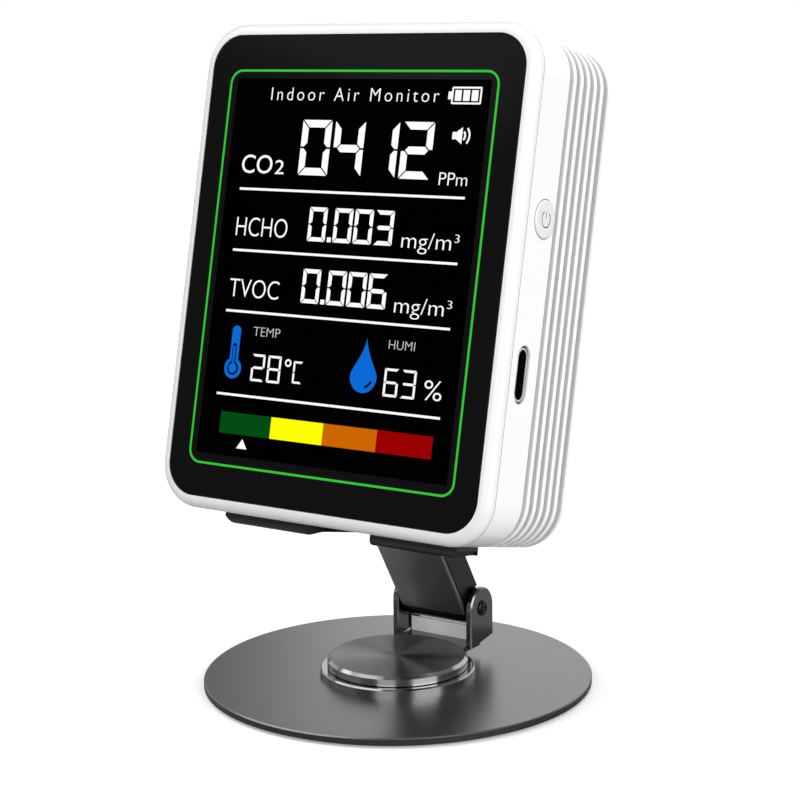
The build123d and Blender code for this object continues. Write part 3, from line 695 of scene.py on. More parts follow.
    def piece(
        self, name: str, material: bpy.types.Material, plane: ScreenPlane, lift_mm: float = 0.0,
        thick_mm: float = 0.03,
    ) -> bpy.types.Object:
        """Give the drawing its thickness, lay it on the screen and let it ride on the monitor.

        Args:
            name: The piece's name.
            material: Its material.
            plane: The glass face.
            lift_mm: How far the drawing's back stands off the glass.
            thick_mm: The drawing's thickness.

        Returns:
            The new object.
        """
        flat = self.bm
        for face in flat.faces:
            if face.normal.z < 0:
                face.normal_flip()
        flat.normal_update()
        bmesh.ops.solidify(flat, geom=flat.faces[:], thickness=-thick_mm)
        bmesh.ops.recalc_face_normals(flat, faces=flat.faces[:])
        lowest = min(v.co.z for v in flat.verts)
        bmesh.ops.translate(flat, verts=flat.verts[:], vec=(0.0, 0.0, -lowest))
        bmesh.ops.transform(flat, matrix=plane.matrix(lift_mm), verts=flat.verts[:])
        return finish_piece(flat, name, material, "monitor", smooth=False)


def finish_piece(
    shape: bmesh.types.BMesh, name: str, material: bpy.types.Material, body: str, smooth: bool = True,
) -> bpy.types.Object:
    """Turn a bmesh into a piece that rides on a body.

    Args:
        shape: The finished bmesh, in metres, in the part's frame. It is freed.
        name: The piece's name.
        material: Its material.
        body: The CAD body it moves with.
        smooth: Whether its faces are shaded smooth.

    Returns:
        The new object, linked and riding.
    """
    mesh = bpy.data.meshes.new(name)
    for face in shape.faces:
        face.smooth = smooth
    shape.to_mesh(mesh)
    shape.free()
    mesh.materials.append(material)
    piece = bpy.data.objects.new(name, mesh)
    bpy.context.scene.collection.objects.link(piece)
    if smooth:
        mesh.set_sharp_from_angle(angle=SHARP_ANGLE)
    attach(piece, body)
    log.info("%s rides on %s with %d faces", name, body, len(mesh.polygons))
    return piece


@dataclass(frozen=True)
class DigitStyle:
    """Size of a seven-segment digit, in millimetres.

    Attributes:
        width: Width of the digit.
        height: Its height.
        stroke: Width of a segment.
        gap: Clear distance at a segment's ends.
        point_size: Side of the decimal point, in strokes.
        point_advance: From the point to the next digit, in sides of the point.
    """

    width: float
    height: float
    stroke: float
    gap: float
    point_size: float = 1.15
    point_advance: float = 1.4

    def segment(self, letter: str) -> list[Point]:
        """Outline of one segment, with the digit's lower left corner at the origin."""
        w, h, s, g = self.width, self.height, self.stroke, self.gap
        top = [(g, h), (w - g, h), (w - s - g, h - s), (s + g, h - s)]
        left = [
            (0.0, h - g), (s, h - s - g), (s, h / 2 + s / 2 + g), (s / 2, h / 2 + g), (0.0, h / 2 + g),
        ]
        middle = [
            (s / 2 + g, h / 2), (s + g, h / 2 + s / 2), (w - s - g, h / 2 + s / 2),
            (w - s / 2 - g, h / 2), (w - s - g, h / 2 - s / 2), (s + g, h / 2 - s / 2),
        ]
        drawn = {"a": top, "f": left, "g": middle}
        drawn["d"] = [(x, h - y) for x, y in top]
        drawn["e"] = [(x, h - y) for x, y in left]
        drawn["b"] = [(w - x, y) for x, y in left]
        drawn["c"] = [(w - x, h - y) for x, y in left]
        return drawn[letter]


SEGMENTS = {
    "0": "abcdef", "1": "bc", "2": "abdeg", "3": "abcdg", "4": "bcfg", "6": "acdefg", "8": "abcdefg",
    "C": "adef",
}


@dataclass(frozen=True)
class Reading:
    """A row of seven-segment digits.

    Attributes:
        name: The piece's name.
        digits: What it shows. A point sits before the digit that follows it.
        left: Left edge of the first digit.
        bottom: The digits' lower edge.
        pitch: From one digit to the next.
        style: Size of a digit.
    """

    name: str
    digits: str
    left: float
    bottom: float
    pitch: float
    style: DigitStyle

    def draw(self) -> Artwork:
        """Draw every lit segment."""
        art = Artwork()
        x = self.left
        for mark in self.digits:
            if mark == ".":
                dot = self.style.stroke * self.style.point_size
                art.bar((x, self.bottom, x + dot, self.bottom + dot))
                x += dot * self.style.point_advance
                continue
            for letter in SEGMENTS[mark]:
                outline = self.style.segment(letter)
                art.polygon([(x + px, self.bottom + py) for px, py in outline])
            x += self.pitch
        return art


@dataclass(frozen=True)
class Label:
    """Generic wording on the screen.

    Attributes:
        name: The piece's name.
        words: Runs of words, each with its box.
        weight: Extra stroke width.
        spacing: Distance between letters.
    """

    name: str
    words: tuple[tuple[str, Box], ...]
    weight: float = 0.0
    spacing: float = 1.0

    def draw(self) -> Artwork:
        """Set the words."""
        art = Artwork()
        for run, box in self.words:
            art.text(run, box, self.weight, self.spacing)
        return art


# ---------------------------------------------------------------------------
# The lit screen
# ---------------------------------------------------------------------------
@dataclass
class LitScreen:
    """Everything the display shows, in millimetres from the middle of the glass."""

    plane: ScreenPlane
    palette: Palette
    window: Box = (-26.4, -33.3, 26.2, 33.3)
    border: Box = (-28.05, -35.25, 27.75, 34.9)
    border_radius: float = 2.5
    border_line: float = 0.4
    rule_ends: Point = (-23.3, 23.5)
    rule_heights: tuple[float, ...] = (13.75, 2.9, -7.85, -22.55)
    rule_line: float = 0.42
    big: DigitStyle = DigitStyle(6.2, 9.6, 1.3, 0.17)
    medium: DigitStyle = DigitStyle(3.75, 5.9, 0.72, 0.11)
    small: DigitStyle = DigitStyle(2.85, 4.75, 0.42, 0.08)
    tiny: DigitStyle = DigitStyle(2.0, 3.85, 0.36, 0.07)
    scale_bar: Box = (-21.8, -29.4, 22.6, -25.65)
    marker_outline: tuple[Point, ...] = ((-17.65, -31.8), (-15.35, -31.8), (-16.5, -30.1))
    degree_centre: Point = (-8.45, -16.05)
    degree_radius: float = 0.68
    icon_line: float = 0.3
    battery_case: Box = (18.75, 29.2, 24.55, 32.1)
    battery_nub: Box = (18.1, 30.0, 18.75, 31.3)
    charge_bar: Box = (19.4, 29.75, 20.65, 31.55)
    charge_pitch: float = 1.62
    speaker_back: Box = (19.75, 23.4, 20.45, 24.6)
    speaker_cone: tuple[Point, ...] = ((20.5, 23.4), (21.65, 22.6), (21.65, 25.4), (20.5, 24.6))
    wave_centre: Point = (21.2, 24.0)
    wave_radii: Point = (0.85, 1.7)
    wave_angle: float = 42
    wave_line: float = 0.34
    bulb: Point = (-20.4, -17.9)
    drop_centre: Point = (7.45, -17.1)
    window_thickness: float = 0.02
    ink_lift: float = 0.02
    second_lift: float = 0.06
    third_lift: float = 0.1
    readings: list[Reading] = field(default_factory=list)
    labels: list[Label] = field(default_factory=list)

    def __post_init__(self) -> None:
        """Lay out the rows."""
        self.readings = [
            Reading("co2_reading", "0412", -11.0, 16.55, 6.98, self.big),
            Reading("formaldehyde_reading", "0.003", -7.45, 5.2, 4.22, self.medium),
            Reading("organics_reading", "0.006", -7.35, -5.5, 4.22, self.medium),
            Reading("temperature_reading", "28", -16.3, -19.8, 3.5, self.small),
            Reading("celsius_mark", "C", -7.25, -19.45, 2.5, self.tiny),
            Reading("humidity_reading", "63", 11.7, -19.95, 3.5, self.small),
        ]
        self.labels = [
            Label("screen_title", (("Indoor Air Monitor", (-18.6, 29.5, 16.3, 31.75)),), -0.012, 1.35),
            Label(
                "co2_label",
                (("CO", (-23.4, 16.55, -16.7, 19.8)), ("2", (-16.05, 16.55, -14.1, 19.0))),
            ),
            Label("co2_unit", (("PPm", (18.1, 15.75, 23.6, 17.85)),), -0.012),
            Label("formaldehyde_label", (("HCHO", (-23.1, 5.45, -11.9, 8.75)),), -0.012),
            Label("formaldehyde_unit", (("mg/m³", (12.1, 4.15, 23.4, 7.7)),), -0.012),
            Label("organics_label", (("TVOC", (-23.1, -5.35, -12.2, -2.15)),), -0.012),
            Label("organics_unit", (("mg/m³", (12.1, -6.75, 23.4, -3.2)),), -0.012),
            Label("temperature_label", (("TEMP", (-16.7, -11.9, -10.9, -10.35)),), -0.014),
            Label("humidity_label", (("HUMI", (11.9, -12.0, 17.1, -10.5)),), -0.014),
            Label("humidity_unit", (("%", (19.8, -19.8, 23.3, -16.5)),), -0.008),
        ]

    def build(self) -> None:
        """Draw the screen back to front."""
        window = Artwork()
        window.bar(self.window, radius=0.4)
        unlit = self.palette.ink(Ink.UNLIT)
        window.piece("display_window", unlit, self.plane, 0.0, self.window_thickness)
        border = Artwork()
        border.bar(self.border, self.border_radius, self.border_line)
        self.lay(border, "border_line", Ink.LINE_GREEN)
        rules = Artwork()
        for height in self.rule_heights:
            half = self.rule_line / 2
            rules.bar((self.rule_ends[0], height - half, self.rule_ends[1], height + half))
        self.lay(rules, "row_rules", Ink.WHITE)
        for row in [*self.readings, *self.labels]:
            dim = row.name in ("temperature_label", "humidity_label")
            self.lay(row.draw(), row.name, Ink.DIM_WHITE if dim else Ink.WHITE)
        self.degree()
        self.battery()
        self.speaker()
        self.thermometer()
        self.water_drop()
        self.air_scale()

    def lay(self, art: Artwork, name: str, ink: Ink, lift_mm: float | None = None) -> None:
        """Put one drawing on the screen in one colour, on the first layer unless told."""
        lift = self.ink_lift if lift_mm is None else lift_mm
        art.piece(name, self.palette.ink(ink), self.plane, lift)

    def degree(self) -> None:
        """The small ring of the temperature's unit."""
        art = Artwork()
        art.disc(self.degree_centre, self.degree_radius, line=self.icon_line)
        self.lay(art, "degree_mark", Ink.WHITE)

    def battery(self) -> None:
        """Battery outline with its nub on the left and three charge bars."""
        art = Artwork()
        art.bar(self.battery_case, 0.25, self.icon_line)
        art.bar(self.battery_nub)
        left, bottom, right, top = self.charge_bar
        for i in range(3):
            shift = i * self.charge_pitch
            art.bar((left + shift, bottom, right + shift, top))
        self.lay(art, "battery_icon", Ink.WHITE)

    def speaker(self) -> None:
        """Loudspeaker with two sound waves."""
        art = Artwork()
        art.bar(self.speaker_back)
        art.polygon(self.speaker_cone)
        for radius in self.wave_radii:
            art.arc(self.wave_centre, radius, -self.wave_angle, self.wave_angle, self.wave_line)
        self.lay(art, "speaker_icon", Ink.WHITE)

    def thermometer(self) -> None:
        """Blue thermometer with a hollow tube and bulb."""
        blue = Artwork()
        blue.bar((-21.3, -17.0, -19.45, -10.4), 0.85)
        blue.disc(self.bulb, 1.85)
        self.lay(blue, "thermometer_icon", Ink.BLUE)
        hollow = Artwork()
        hollow.bar((-20.82, -17.4, -19.98, -13.5), 0.35)
        hollow.disc(self.bulb, 1.2)
        self.lay(hollow, "thermometer_hollow", Ink.UNLIT, self.second_lift)
        filled = Artwork()
        filled.bar((-20.6, -17.4, -20.2, -14.0), 0.15)
        filled.disc(self.bulb, 0.85)
        self.lay(filled, "thermometer_fill", Ink.BLUE, self.third_lift)

    def water_drop(self) -> None:
        """Blue drop with a dark crescent low on its right."""
        blue = Artwork()
        blue.drop(self.drop_centre, 2.7, 6.6)
        self.lay(blue, "drop_icon", Ink.BLUE)
        crescent = Artwork()
        crescent.arc(self.drop_centre, 1.55, -75, -20, 0.42)
        self.lay(crescent, "drop_crescent", Ink.UNLIT, self.second_lift)

    def air_scale(self) -> None:
        """Four coloured blocks from good to bad, and the white marker under the first."""
        left, bottom, right, top = self.scale_bar
        width = (right - left) / 4
        inks = (Ink.GOOD_GREEN, Ink.FAIR_YELLOW, Ink.POOR_ORANGE, Ink.BAD_RED)
        for i, ink in enumerate(inks):
            art = Artwork()
            art.bar((left + i * width, bottom, left + (i + 1) * width, top))
            self.lay(art, f"scale_{ink.name.lower()}", ink)
        marker = Artwork()
        marker.polygon(self.marker_outline)
        self.lay(marker, "scale_marker", Ink.WHITE)


# ---------------------------------------------------------------------------
# Finishes on the CAD nodes
# ---------------------------------------------------------------------------
@dataclass
class NodeDresser:
    """Puts the finish of its slot on every CAD node."""

    palette: Palette
    plane: ScreenPlane

    @staticmethod
    def shared(slot: str) -> dict[str, Any]:
        """Return a slot finish's values, without its name, for a finish that builds on it."""
        finish = SLOT_FINISHES[slot]
        return {k: getattr(finish, k) for k in finish.__dataclass_fields__ if k != "name"}

    def own_finishes(self) -> dict[str, Finish]:
        """Finishes of the nodes that differ from their slot's."""
        plate_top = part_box("base_plate")[1].z
        disc_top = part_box("turntable_disc")[1].z
        return {
            # the casing's grooves and the parting line to the bezel are painted grey as shade; their satin
            # roughness is real
            "main_housing": RibbedFinish(
                name="ribbed gloss ABS", tilt=self.plane.tilt, origin=tuple(self.plane.centre),
                **self.shared("white_gloss"),
            ),
            # the plate's edge below its top is coloured dark and brownish
            "base_plate": RimFinish(
                name="blasted plate with a dark edge", rim_top=plate_top - 0.2 * MM,
                **self.shared("base_steel"),
            ),
            # the disc's turned edge is polished after spinning, so it is smoother; its brighter colour is a
            # painted highlight standing in for the smeared reflection on the edge
            "turntable_disc": RimFinish(
                name="spun disc with a polished edge", rim_colour="#A0A0A2", rim_roughness=0.16,
                rim_top=disc_top - 0.02 * MM, **self.shared("spun_metal"),
            ),
            "bearing_ring": Finish(
                "polished nickel ring", "#9C9C9E", "#909092", metallic=1.0, roughness=0.12,
                rough_swing=0.03, grain=Grain.SPUN, grain_mm=0.3, bump_mm=0.0004,
            ),
            "cradle_plate": Finish(
                "polished black-nickel plate", "#444446", "#3B3B3D", metallic=1.0, roughness=0.22,
                grain=Grain.BRUSHED, grain_mm=0.3, bump_mm=0.0006, cloud_mm=9.0,
            ),
            # the cover plate is satin, so it blurs what it mirrors; its colour, much lighter than the channel's
            # black nickel, is a painted highlight for its lit face
            "arm_front_plate": Finish(
                "satin black-nickel plate", "#9C9C9E", "#929294", metallic=1.0, roughness=0.34,
                rough_swing=0.04, grain=Grain.BRUSHED, grain_mm=0.3, bump_mm=0.0008, cloud_mm=9.0,
            ),
            "arm_channel": Finish(
                "brushed black-nickel channel", "#3C3C3E", "#343436", metallic=1.0, roughness=0.24,
                rough_swing=0.04, grain=Grain.BRUSHED, grain_mm=0.3, bump_mm=0.0006, cloud_mm=9.0,
            ),
            # the bezel is coloured greyer than the casing: painted shade of its front face against the brighter
            # lit side
            "front_bezel": Finish(
                "moulded satin-gloss ABS bezel", "#E4E4E3", "#E0E1E1", roughness=0.3,
                rough_swing=0.04, grain_mm=1.6, bump_mm=0.003, ior=1.54,
            ),
        }

    def build(self) -> None:
        """Dress every node."""
        own = self.own_finishes()
        for entry in frame["record"]["subparts"]:
            node = frame["nodes"][entry["node"]]
            finish = own.get(entry["node"], SLOT_FINISHES[entry["material_slot"]])
            material = self.palette.get(finish)
            if node.data.materials:
                for i in range(len(node.data.materials)):
                    node.data.materials[i] = material
            else:
                node.data.materials.append(material)
        log.info("dressed %d CAD nodes", len(frame["nodes"]))


# ---------------------------------------------------------------------------
# Studio
# ---------------------------------------------------------------------------
@dataclass(frozen=True)
class SoftBox:
    """One rectangular studio light.

    Attributes:
        name: What it does.
        place: Where it stands, in metres.
        size: Width and height, in metres.
        watts: Its power.
    """

    name: str
    place: tuple[float, float, float]
    size: tuple[float, float]
    watts: float


@dataclass
class Studio:
    """Pale floor, soft light and the camera."""

    azimuth: float = 34.0
    elevation: float = 10.7
    roll: float = -0.8
    distance: float = 0.358
    aim_right: float = 0.0011
    aim_height: float = 0.0524
    lens: float = 90.0
    target: tuple[float, float, float] = (0.0, 0.0, 0.05)
    sky: float = 0.3
    floor_size: float = 6.0
    pool_start: float = 0.08
    pool_end: float = 0.3
    floor_shade: float = 0.25
    lights: tuple[SoftBox, ...] = (
        SoftBox("key_high_left", (-0.6, -0.4, 0.85), (1.0, 1.0), 6.6),
        SoftBox("fill_front", (0.3, -1.1, 0.5), (0.6, 0.6), 4.0),
        SoftBox("fill_right", (1.0, -0.2, 0.4), (0.8, 0.8), 9.2),
        SoftBox("panel_back", (-0.1, 1.0, 0.4), (1.3, 0.7), 2.6),
        SoftBox("panel_left", (-1.1, 0.25, 0.35), (0.5, 0.6), 0.5),
        SoftBox("top", (0.1, 0.15, 1.1), (0.8, 0.4), 1.6),
    )

    def build(self) -> None:
        """Make the floor, the lights, the world and the camera."""
        self.floor()
        for light in self.lights:
            self.light(light)
        self.world()
        self.camera()

    def floor_material(self) -> bpy.types.Material:
        """Matt white paper that brightens away from the object, and is greyer in reflections."""
        material = bpy.data.materials.new("matt_white_paper")
        material.use_nodes = True
        tree = material.node_tree
        tree.nodes.clear()
        coords = add_node(tree, "ShaderNodeTexCoord").outputs["Object"]
        far = add_node(tree, "ShaderNodeVectorMath", {0: coords}, operation="LENGTH").outputs["Value"]
        bright = add_node(
            tree, "ShaderNodeMapRange",
            {
                "Value": far, "From Min": self.pool_start, "From Max": self.pool_end,
                "To Min": self.floor_shade, "To Max": 1.0,
            },
            interpolation_type="SMOOTHSTEP",
        )
        seen = add_node(tree, "ShaderNodeLightPath").outputs["Is Camera Ray"]
        glow = add_node(
            tree, "ShaderNodeMath", {0: bright.outputs["Result"], 1: seen}, operation="MULTIPLY"
        )
        colour = add_node(
            tree, "ShaderNodeMix",
            {"Factor": seen, "A": linear("#B4B4B4"), "B": linear("#F2F2F2")}, data_type="RGBA",
        )
        surface = add_node(
            tree, "ShaderNodeBsdfPrincipled",
            {
                "Base Color": colour.outputs["Result"], "Roughness": 0.9, "Specular IOR Level": 0.1,
                "Emission Color": (1.0, 1.0, 1.0, 1.0), "Emission Strength": glow.outputs[0],
            },
        )
        add_node(tree, "ShaderNodeOutputMaterial", {"Surface": surface.outputs[0]})
        return material

    def floor(self) -> None:
        """A wide pale floor."""
        shape = bmesh.new()
        bmesh.ops.create_grid(shape, x_segments=1, y_segments=1, size=self.floor_size)
        mesh = bpy.data.meshes.new("floor")
        shape.to_mesh(mesh)
        shape.free()
        floor = bpy.data.objects.new("floor", mesh)
        mesh.materials.append(self.floor_material())
        bpy.context.scene.collection.objects.link(floor)

    def light(self, box: SoftBox) -> None:
        """Hang one soft box and turn it to the object."""
        data = bpy.data.lights.new(box.name, "AREA")
        data.shape = "RECTANGLE"
        data.size, data.size_y = box.size
        data.energy = box.watts
        lamp = bpy.data.objects.new(box.name, data)
        lamp.location = box.place
        away = Vector(box.place) - Vector(self.target)
        lamp.rotation_euler = away.to_track_quat("Z", "Y").to_euler()
        lamp.visible_camera = False
        bpy.context.scene.collection.objects.link(lamp)

    def world(self) -> None:
        """White behind the object, dimmer as a light, so that dark metal keeps its contrast."""
        world = bpy.data.worlds.new("studio")
        world.use_nodes = True
        tree = world.node_tree
        tree.nodes.clear()
        seen = add_node(tree, "ShaderNodeLightPath").outputs["Is Camera Ray"]
        white = (1.0, 1.0, 1.0, 1.0)
        lit = add_node(tree, "ShaderNodeBackground", {"Color": white, "Strength": self.sky})
        backdrop = add_node(tree, "ShaderNodeBackground", {"Color": white, "Strength": 1.0})
        mixed = add_node(
            tree, "ShaderNodeMixShader", {0: seen, 1: lit.outputs[0], 2: backdrop.outputs[0]}
        )
        add_node(tree, "ShaderNodeOutputWorld", {"Surface": mixed.outputs[0]})
        scene = bpy.context.scene
        scene.world = world
        scene.view_settings.view_transform = "Standard"
        scene.view_settings.look = "None"

    def camera(self) -> None:
        """Camera at the viewer's right, a little above."""
        turn, rise, roll = radians(self.azimuth), radians(self.elevation), radians(self.roll)
        back = Vector((sin(turn) * cos(rise), -cos(turn) * cos(rise), sin(rise)))
        level = Vector((cos(turn), sin(turn), 0.0))
        above = back.cross(level)
        right = level * cos(roll) + above * sin(roll)
        up = above * cos(roll) - level * sin(roll)
        aim = level * self.aim_right + Vector((0.0, 0.0, self.aim_height))
        data = bpy.data.cameras.new("camera")
        data.lens = self.lens
        data.sensor_width = 36.0
        data.clip_start = 0.01
        eye = bpy.data.objects.new("camera", data)
        eye.matrix_world = from_axes(right, up, back, aim + back * self.distance)
        bpy.context.scene.collection.objects.link(eye)
        bpy.context.scene.camera = eye


# ---------------------------------------------------------------------------
# Small pieces that CAD leaves plain
# ---------------------------------------------------------------------------
@dataclass
class HingeDetails:
    """Pale plate on the bracket's web, painted near white as the reflection the web shows, and rolled ends on the
    lower pin.
    """

    palette: Palette
    plate_thickness: float = 0.12 * MM
    plate_margin: float = 0.25 * MM
    plate_rise: float = 2.35 * MM
    plate_edge: float = 0.03 * MM
    web_ahead: float = 0.2 * MM
    foot_gap: float = 0.1 * MM
    dome_height: float = 0.28 * MM
    dome_share: float = 0.78
    dome_profile: tuple[Point, ...] = (
        (0.0, 0.25), (0.252, 0.3), (0.42, 0.75), (0.62, 1.0), (0.85, 0.75), (1.0, -0.2),
    )

    def build(self) -> None:
        """Make both."""
        self.wear_plate()
        self.pin_ends()

    def wear_plate(self) -> None:
        """Thin pale plate on the front of the web, under the arm's round foot, whose near-white colour is a
        painted reflection.
        """
        pin_low, pin_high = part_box("lower_pin")
        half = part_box("lower_washers")[1].x - self.plate_margin
        web_front = (pin_low.y + pin_high.y) / 2 + self.web_ahead
        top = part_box("turntable_disc")[1].z + self.plate_rise
        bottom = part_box("hinge_bracket")[0].z + self.foot_gap
        shape = bmesh.new()
        bmesh.ops.create_cube(shape, size=1.0)
        bmesh.ops.scale(shape, vec=(2 * half, self.plate_thickness, top - bottom), verts=shape.verts[:])
        bmesh.ops.translate(
            shape, verts=shape.verts[:],
            vec=(0.0, web_front - self.plate_thickness / 2, (top + bottom) / 2),
        )
        bmesh.ops.bevel(
            shape, geom=shape.edges[:], offset=self.plate_edge, offset_type="OFFSET",
            affect="EDGES", segments=2, profile=0.5, material=-1,
        )
        # near white: painted reflection of the bright surroundings on the web, lifted against the arm's shadow
        finish = Finish(
            "filled nylon wear plate", "#FBFBFB", "#F2F2F3", roughness=0.35, grain=Grain.BRUSHED,
            grain_mm=0.3, bump_mm=0.001,
        )
        plate = finish_piece(shape, "web_wear_plate", self.palette.get(finish), "turntable")

    def pin_ends(self) -> None:
        """Rolled rivet ends: a low dome with a dimple, one at each end of the pin."""
        low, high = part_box("lower_pin")
        axis = (low + high) / 2
        radius = (high.y - low.y) / 2 * self.dome_share
        for name, face, way in (("pin_end_right", high.x, 1.0), ("pin_end_left", low.x, -1.0)):
            shape = bmesh.new()
            verts = [
                shape.verts.new((way * self.dome_height * lift, radius * share, 0.0))
                for share, lift in self.dome_profile
            ]
            edges = [shape.edges.new(pair) for pair in zip(verts, verts[1:])]
            bmesh.ops.spin(
                shape, geom=[*verts, *edges], cent=(0, 0, 0), axis=(1, 0, 0), angle=2 * pi, steps=40,
                use_merge=True,
            )
            bmesh.ops.remove_doubles(shape, verts=shape.verts[:], dist=1e-7)
            rim = [e for e in shape.edges if len(e.link_faces) == 1]
            bmesh.ops.edgeloop_fill(shape, edges=rim)
            bmesh.ops.recalc_face_normals(shape, faces=shape.faces[:])
            bmesh.ops.translate(shape, verts=shape.verts[:], vec=(face, axis.y, axis.z))
            dome = finish_piece(shape, name, self.palette.get(SLOT_FINISHES["pin_steel"]), "turntable")


@dataclass
class PortContacts:
    """Row of gold contacts on both faces of the charging port's tongue."""

    palette: Palette
    plane: ScreenPlane
    count: int = 12
    pitch: float = 0.5 * MM
    width: float = 0.25 * MM
    length: float = 3.2 * MM
    thickness: float = 0.03 * MM
    tongue_half: float = 0.35 * MM
    tip_gap: float = 0.4 * MM

    def build(self) -> None:
        """Make one mesh with every contact."""
        low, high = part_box("usb_tongue")
        middle = (low + high) / 2
        back = -self.plane.out
        step = self.tongue_half + self.thickness / 2
        shape = bmesh.new()
        for i in range(self.count):
            along = (i - (self.count - 1) / 2) * self.pitch
            for side in (-1.0, 1.0):
                centre = middle + self.plane.up * along + back * side * step
                centre.x = high.x - self.length / 2 - self.tip_gap
                place = from_axes(
                    Vector((self.length, 0.0, 0.0)), self.plane.up * self.width,
                    back * self.thickness, centre,
                )
                bmesh.ops.create_cube(shape, size=1.0, matrix=place)
        bmesh.ops.recalc_face_normals(shape, faces=shape.faces[:])
        gold = Finish("gold-plated contact", "#D8B45A", "#C79F45", metallic=1.0, roughness=0.25,
                      grain_mm=0.2, bump_mm=0.001)
        contacts = finish_piece(shape, "port_contacts", self.palette.get(gold), "monitor", smooth=False)


@dataclass
class PortRings:
    """Black ring in the gap about the charging port's shell, painting the shadow in that gap, and the rolled lip
    on its mouth, whose near-white colour is a painted highlight.
    """

    palette: Palette
    plane: ScreenPlane
    slack: float = 0.03 * MM
    gap: float = 0.38 * MM
    wall: float = 0.33 * MM
    gap_shadow_depth: float = 0.42 * MM
    gap_shadow_thickness: float = 0.6 * MM
    lip_thickness: float = 0.08 * MM

    def build(self) -> None:
        """Make both rings."""
        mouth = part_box("usb_shell")[1].x
        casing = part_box("main_housing")[1].x
        # black rubber colour fills the gap about the shell as a painted shadow
        rubber = self.palette.get(SLOT_FINISHES["rubber_black"])
        # the lip's near-white colour is a painted highlight on the rolled mouth of the shell
        bright = Finish("rolled stainless lip", "#FAFAFA", "#EFEFF0", metallic=1.0, roughness=0.5,
                        grain_mm=0.2, bump_mm=0.0005)
        # distances are from the shell's outside; the black ring that paints the shadow in the gap stays clear of
        # shell and casing
        self.ring("port_gasket", casing - self.gap_shadow_depth, self.gap - self.slack, self.slack,
                  self.gap_shadow_thickness, rubber, "rubber_black")
        self.ring("port_lip", mouth + self.lip_thickness, 0.0, -self.wall, self.lip_thickness,
                  self.palette.get(bright), "port_steel")

    def ring(
        self, name: str, face: float, outside: float, inside: float, thickness: float,
        material: bpy.types.Material, slot: str,
    ) -> None:
        """Make a slot-shaped ring that rides on the monitor.

        Args:
            name: The piece's name.
            face: X of its outer face.
            outside: Its outer edge's distance outside the shell.
            inside: Its inner edge's distance outside the shell, negative for inside.
            thickness: Its thickness along X.
            material: Its material.
            slot: Name of the record's slot for the ring; not used.
        """
        low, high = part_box("usb_shell")
        middle = (low + high) / 2
        up = self.plane.up
        # the box holds a leaning slot: its half sides are radius + straight * up.z and + straight * up.y
        across, along = (high.y - low.y) / 2, (high.z - low.z) / 2
        straight = (along - across) / (up.z - up.y)
        radius = across - straight * up.y
        shape = bmesh.new()
        bmesh.ops.create_circle(shape, cap_ends=True, segments=64, radius=radius + outside)
        for vert in shape.verts:
            vert.co.y += straight if vert.co.y > 0 else -straight
        Artwork.hollow(shape, outside - inside)
        bmesh.ops.solidify(shape, geom=shape.faces[:], thickness=thickness)
        highest = max(v.co.z for v in shape.verts)
        bmesh.ops.translate(shape, verts=shape.verts[:], vec=(0.0, 0.0, -highest))
        bmesh.ops.transform(
            shape, matrix=self.plane.side_matrix(face, middle), verts=shape.verts[:]
        )
        bmesh.ops.recalc_face_normals(shape, faces=shape.faces[:])
        finish_piece(shape, name, material, "monitor", smooth=False)


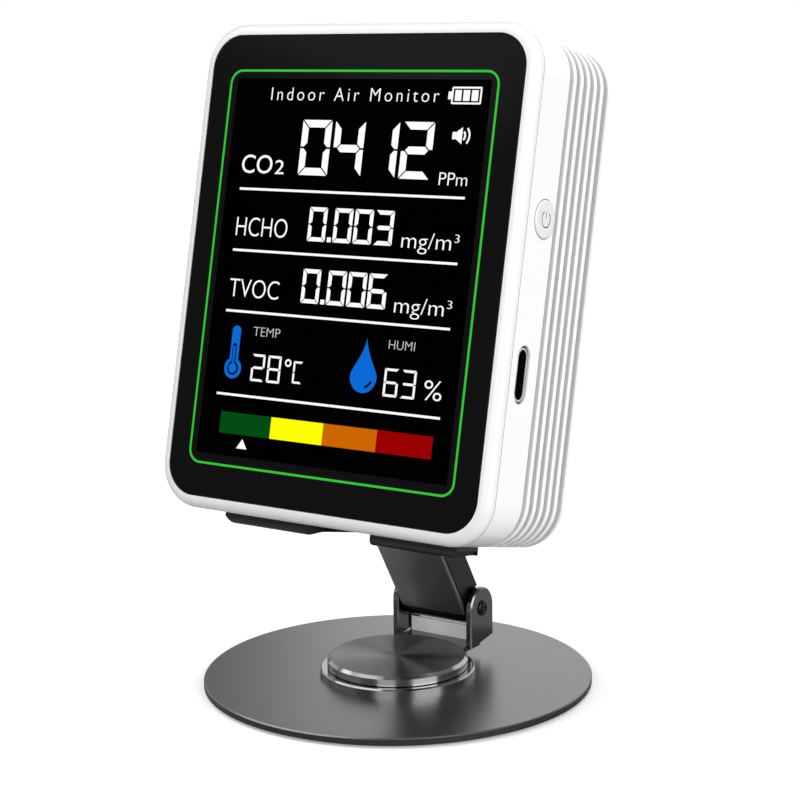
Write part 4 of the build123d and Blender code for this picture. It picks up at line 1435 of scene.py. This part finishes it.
@dataclass
class ButtonMark:
    """Low open ring and bar moulded on the side button's face, and a grey ring about the button painted as the
    shadow of its gap.
    """

    palette: Palette
    plane: ScreenPlane
    radius: float = 1.45 * MM
    line: float = 0.18 * MM
    height: float = 0.012 * MM
    ring_start: float = radians(125)
    ring_sweep: float = radians(290)
    bar_ends: Point = (0.1 * MM, 1.3 * MM)
    gap_inner: float = 3.21 * MM
    gap_outer: float = 3.36 * MM

    def build(self) -> None:
        """Make the mark, which rides on the button, and the painted gap shadow ring, which rides on the monitor.
        """
        low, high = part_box("side_button")
        middle = (low + high) / 2
        shape = bmesh.new()
        ends = [
            shape.verts.new((r * cos(self.ring_start), r * sin(self.ring_start), 0.0))
            for r in (self.radius - self.line, self.radius)
        ]
        edge = shape.edges.new(ends)
        bmesh.ops.spin(
            shape, geom=[*ends, edge], cent=(0, 0, 0), axis=(0, 0, 1), angle=self.ring_sweep,
            steps=36,
        )
        half = self.line / 2
        foot, head = self.bar_ends
        corners = ((-half, foot), (half, foot), (half, head), (-half, head))
        shape.faces.new([shape.verts.new((x, y, 0.0)) for x, y in corners])
        bmesh.ops.recalc_face_normals(shape, faces=shape.faces[:])
        bmesh.ops.solidify(shape, geom=shape.faces[:], thickness=self.height)
        bmesh.ops.recalc_face_normals(shape, faces=shape.faces[:])
        place = self.plane.side_matrix(high.x, middle)
        bmesh.ops.transform(shape, matrix=place, verts=shape.verts[:])
        bmesh.ops.recalc_face_normals(shape, faces=shape.faces[:])
        material = self.palette.get(SLOT_FINISHES["button_plastic"])
        mark = finish_piece(shape, "button_mark", material, "button", smooth=False)
        self.gap_ring(place)

    def gap_ring(self, place: Matrix) -> None:
        """Grey ring on the casing's face about the button, painting the shadow of the button's gap.

        Args:
            place: Matrix of the button's face. The ring lies on the casing instead.
        """
        shape = bmesh.new()
        bmesh.ops.create_circle(shape, cap_ends=True, segments=64, radius=self.gap_outer)
        Artwork.hollow(shape, self.gap_outer - self.gap_inner)
        bmesh.ops.solidify(shape, geom=shape.faces[:], thickness=2 * self.height)
        bmesh.ops.transform(shape, matrix=place, verts=shape.verts[:])
        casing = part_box("main_housing")[1].x
        lowest = min(v.co.x for v in shape.verts)
        bmesh.ops.translate(
            shape, verts=shape.verts[:], vec=(casing - lowest - self.height, 0.0, 0.0)
        )
        bmesh.ops.recalc_face_normals(shape, faces=shape.faces[:])
        # grey colour: painted shadow of the gap between button and casing
        grey = Finish("grey silicone seal", "#8E8F91", "#87888A", roughness=0.6, grain_mm=0.3,
                      bump_mm=0.001, ior=1.41)
        ring = finish_piece(shape, "button_seal", self.palette.get(grey), "monitor", smooth=False)


def main() -> None:
    """Dress the nodes, draw the screen and set up the studio."""
    logging.basicConfig(level=logging.INFO, format="%(name)s: %(message)s")
    palette = Palette()
    plane = ScreenPlane.from_frame()
    Studio().build()
    NodeDresser(palette, plane).build()
    LitScreen(plane, palette).build()
    HingeDetails(palette).build()
    PortContacts(palette, plane).build()
    PortRings(palette, plane).build()
    ButtonMark(palette, plane).build()


if __name__ == "__main__":
    main()
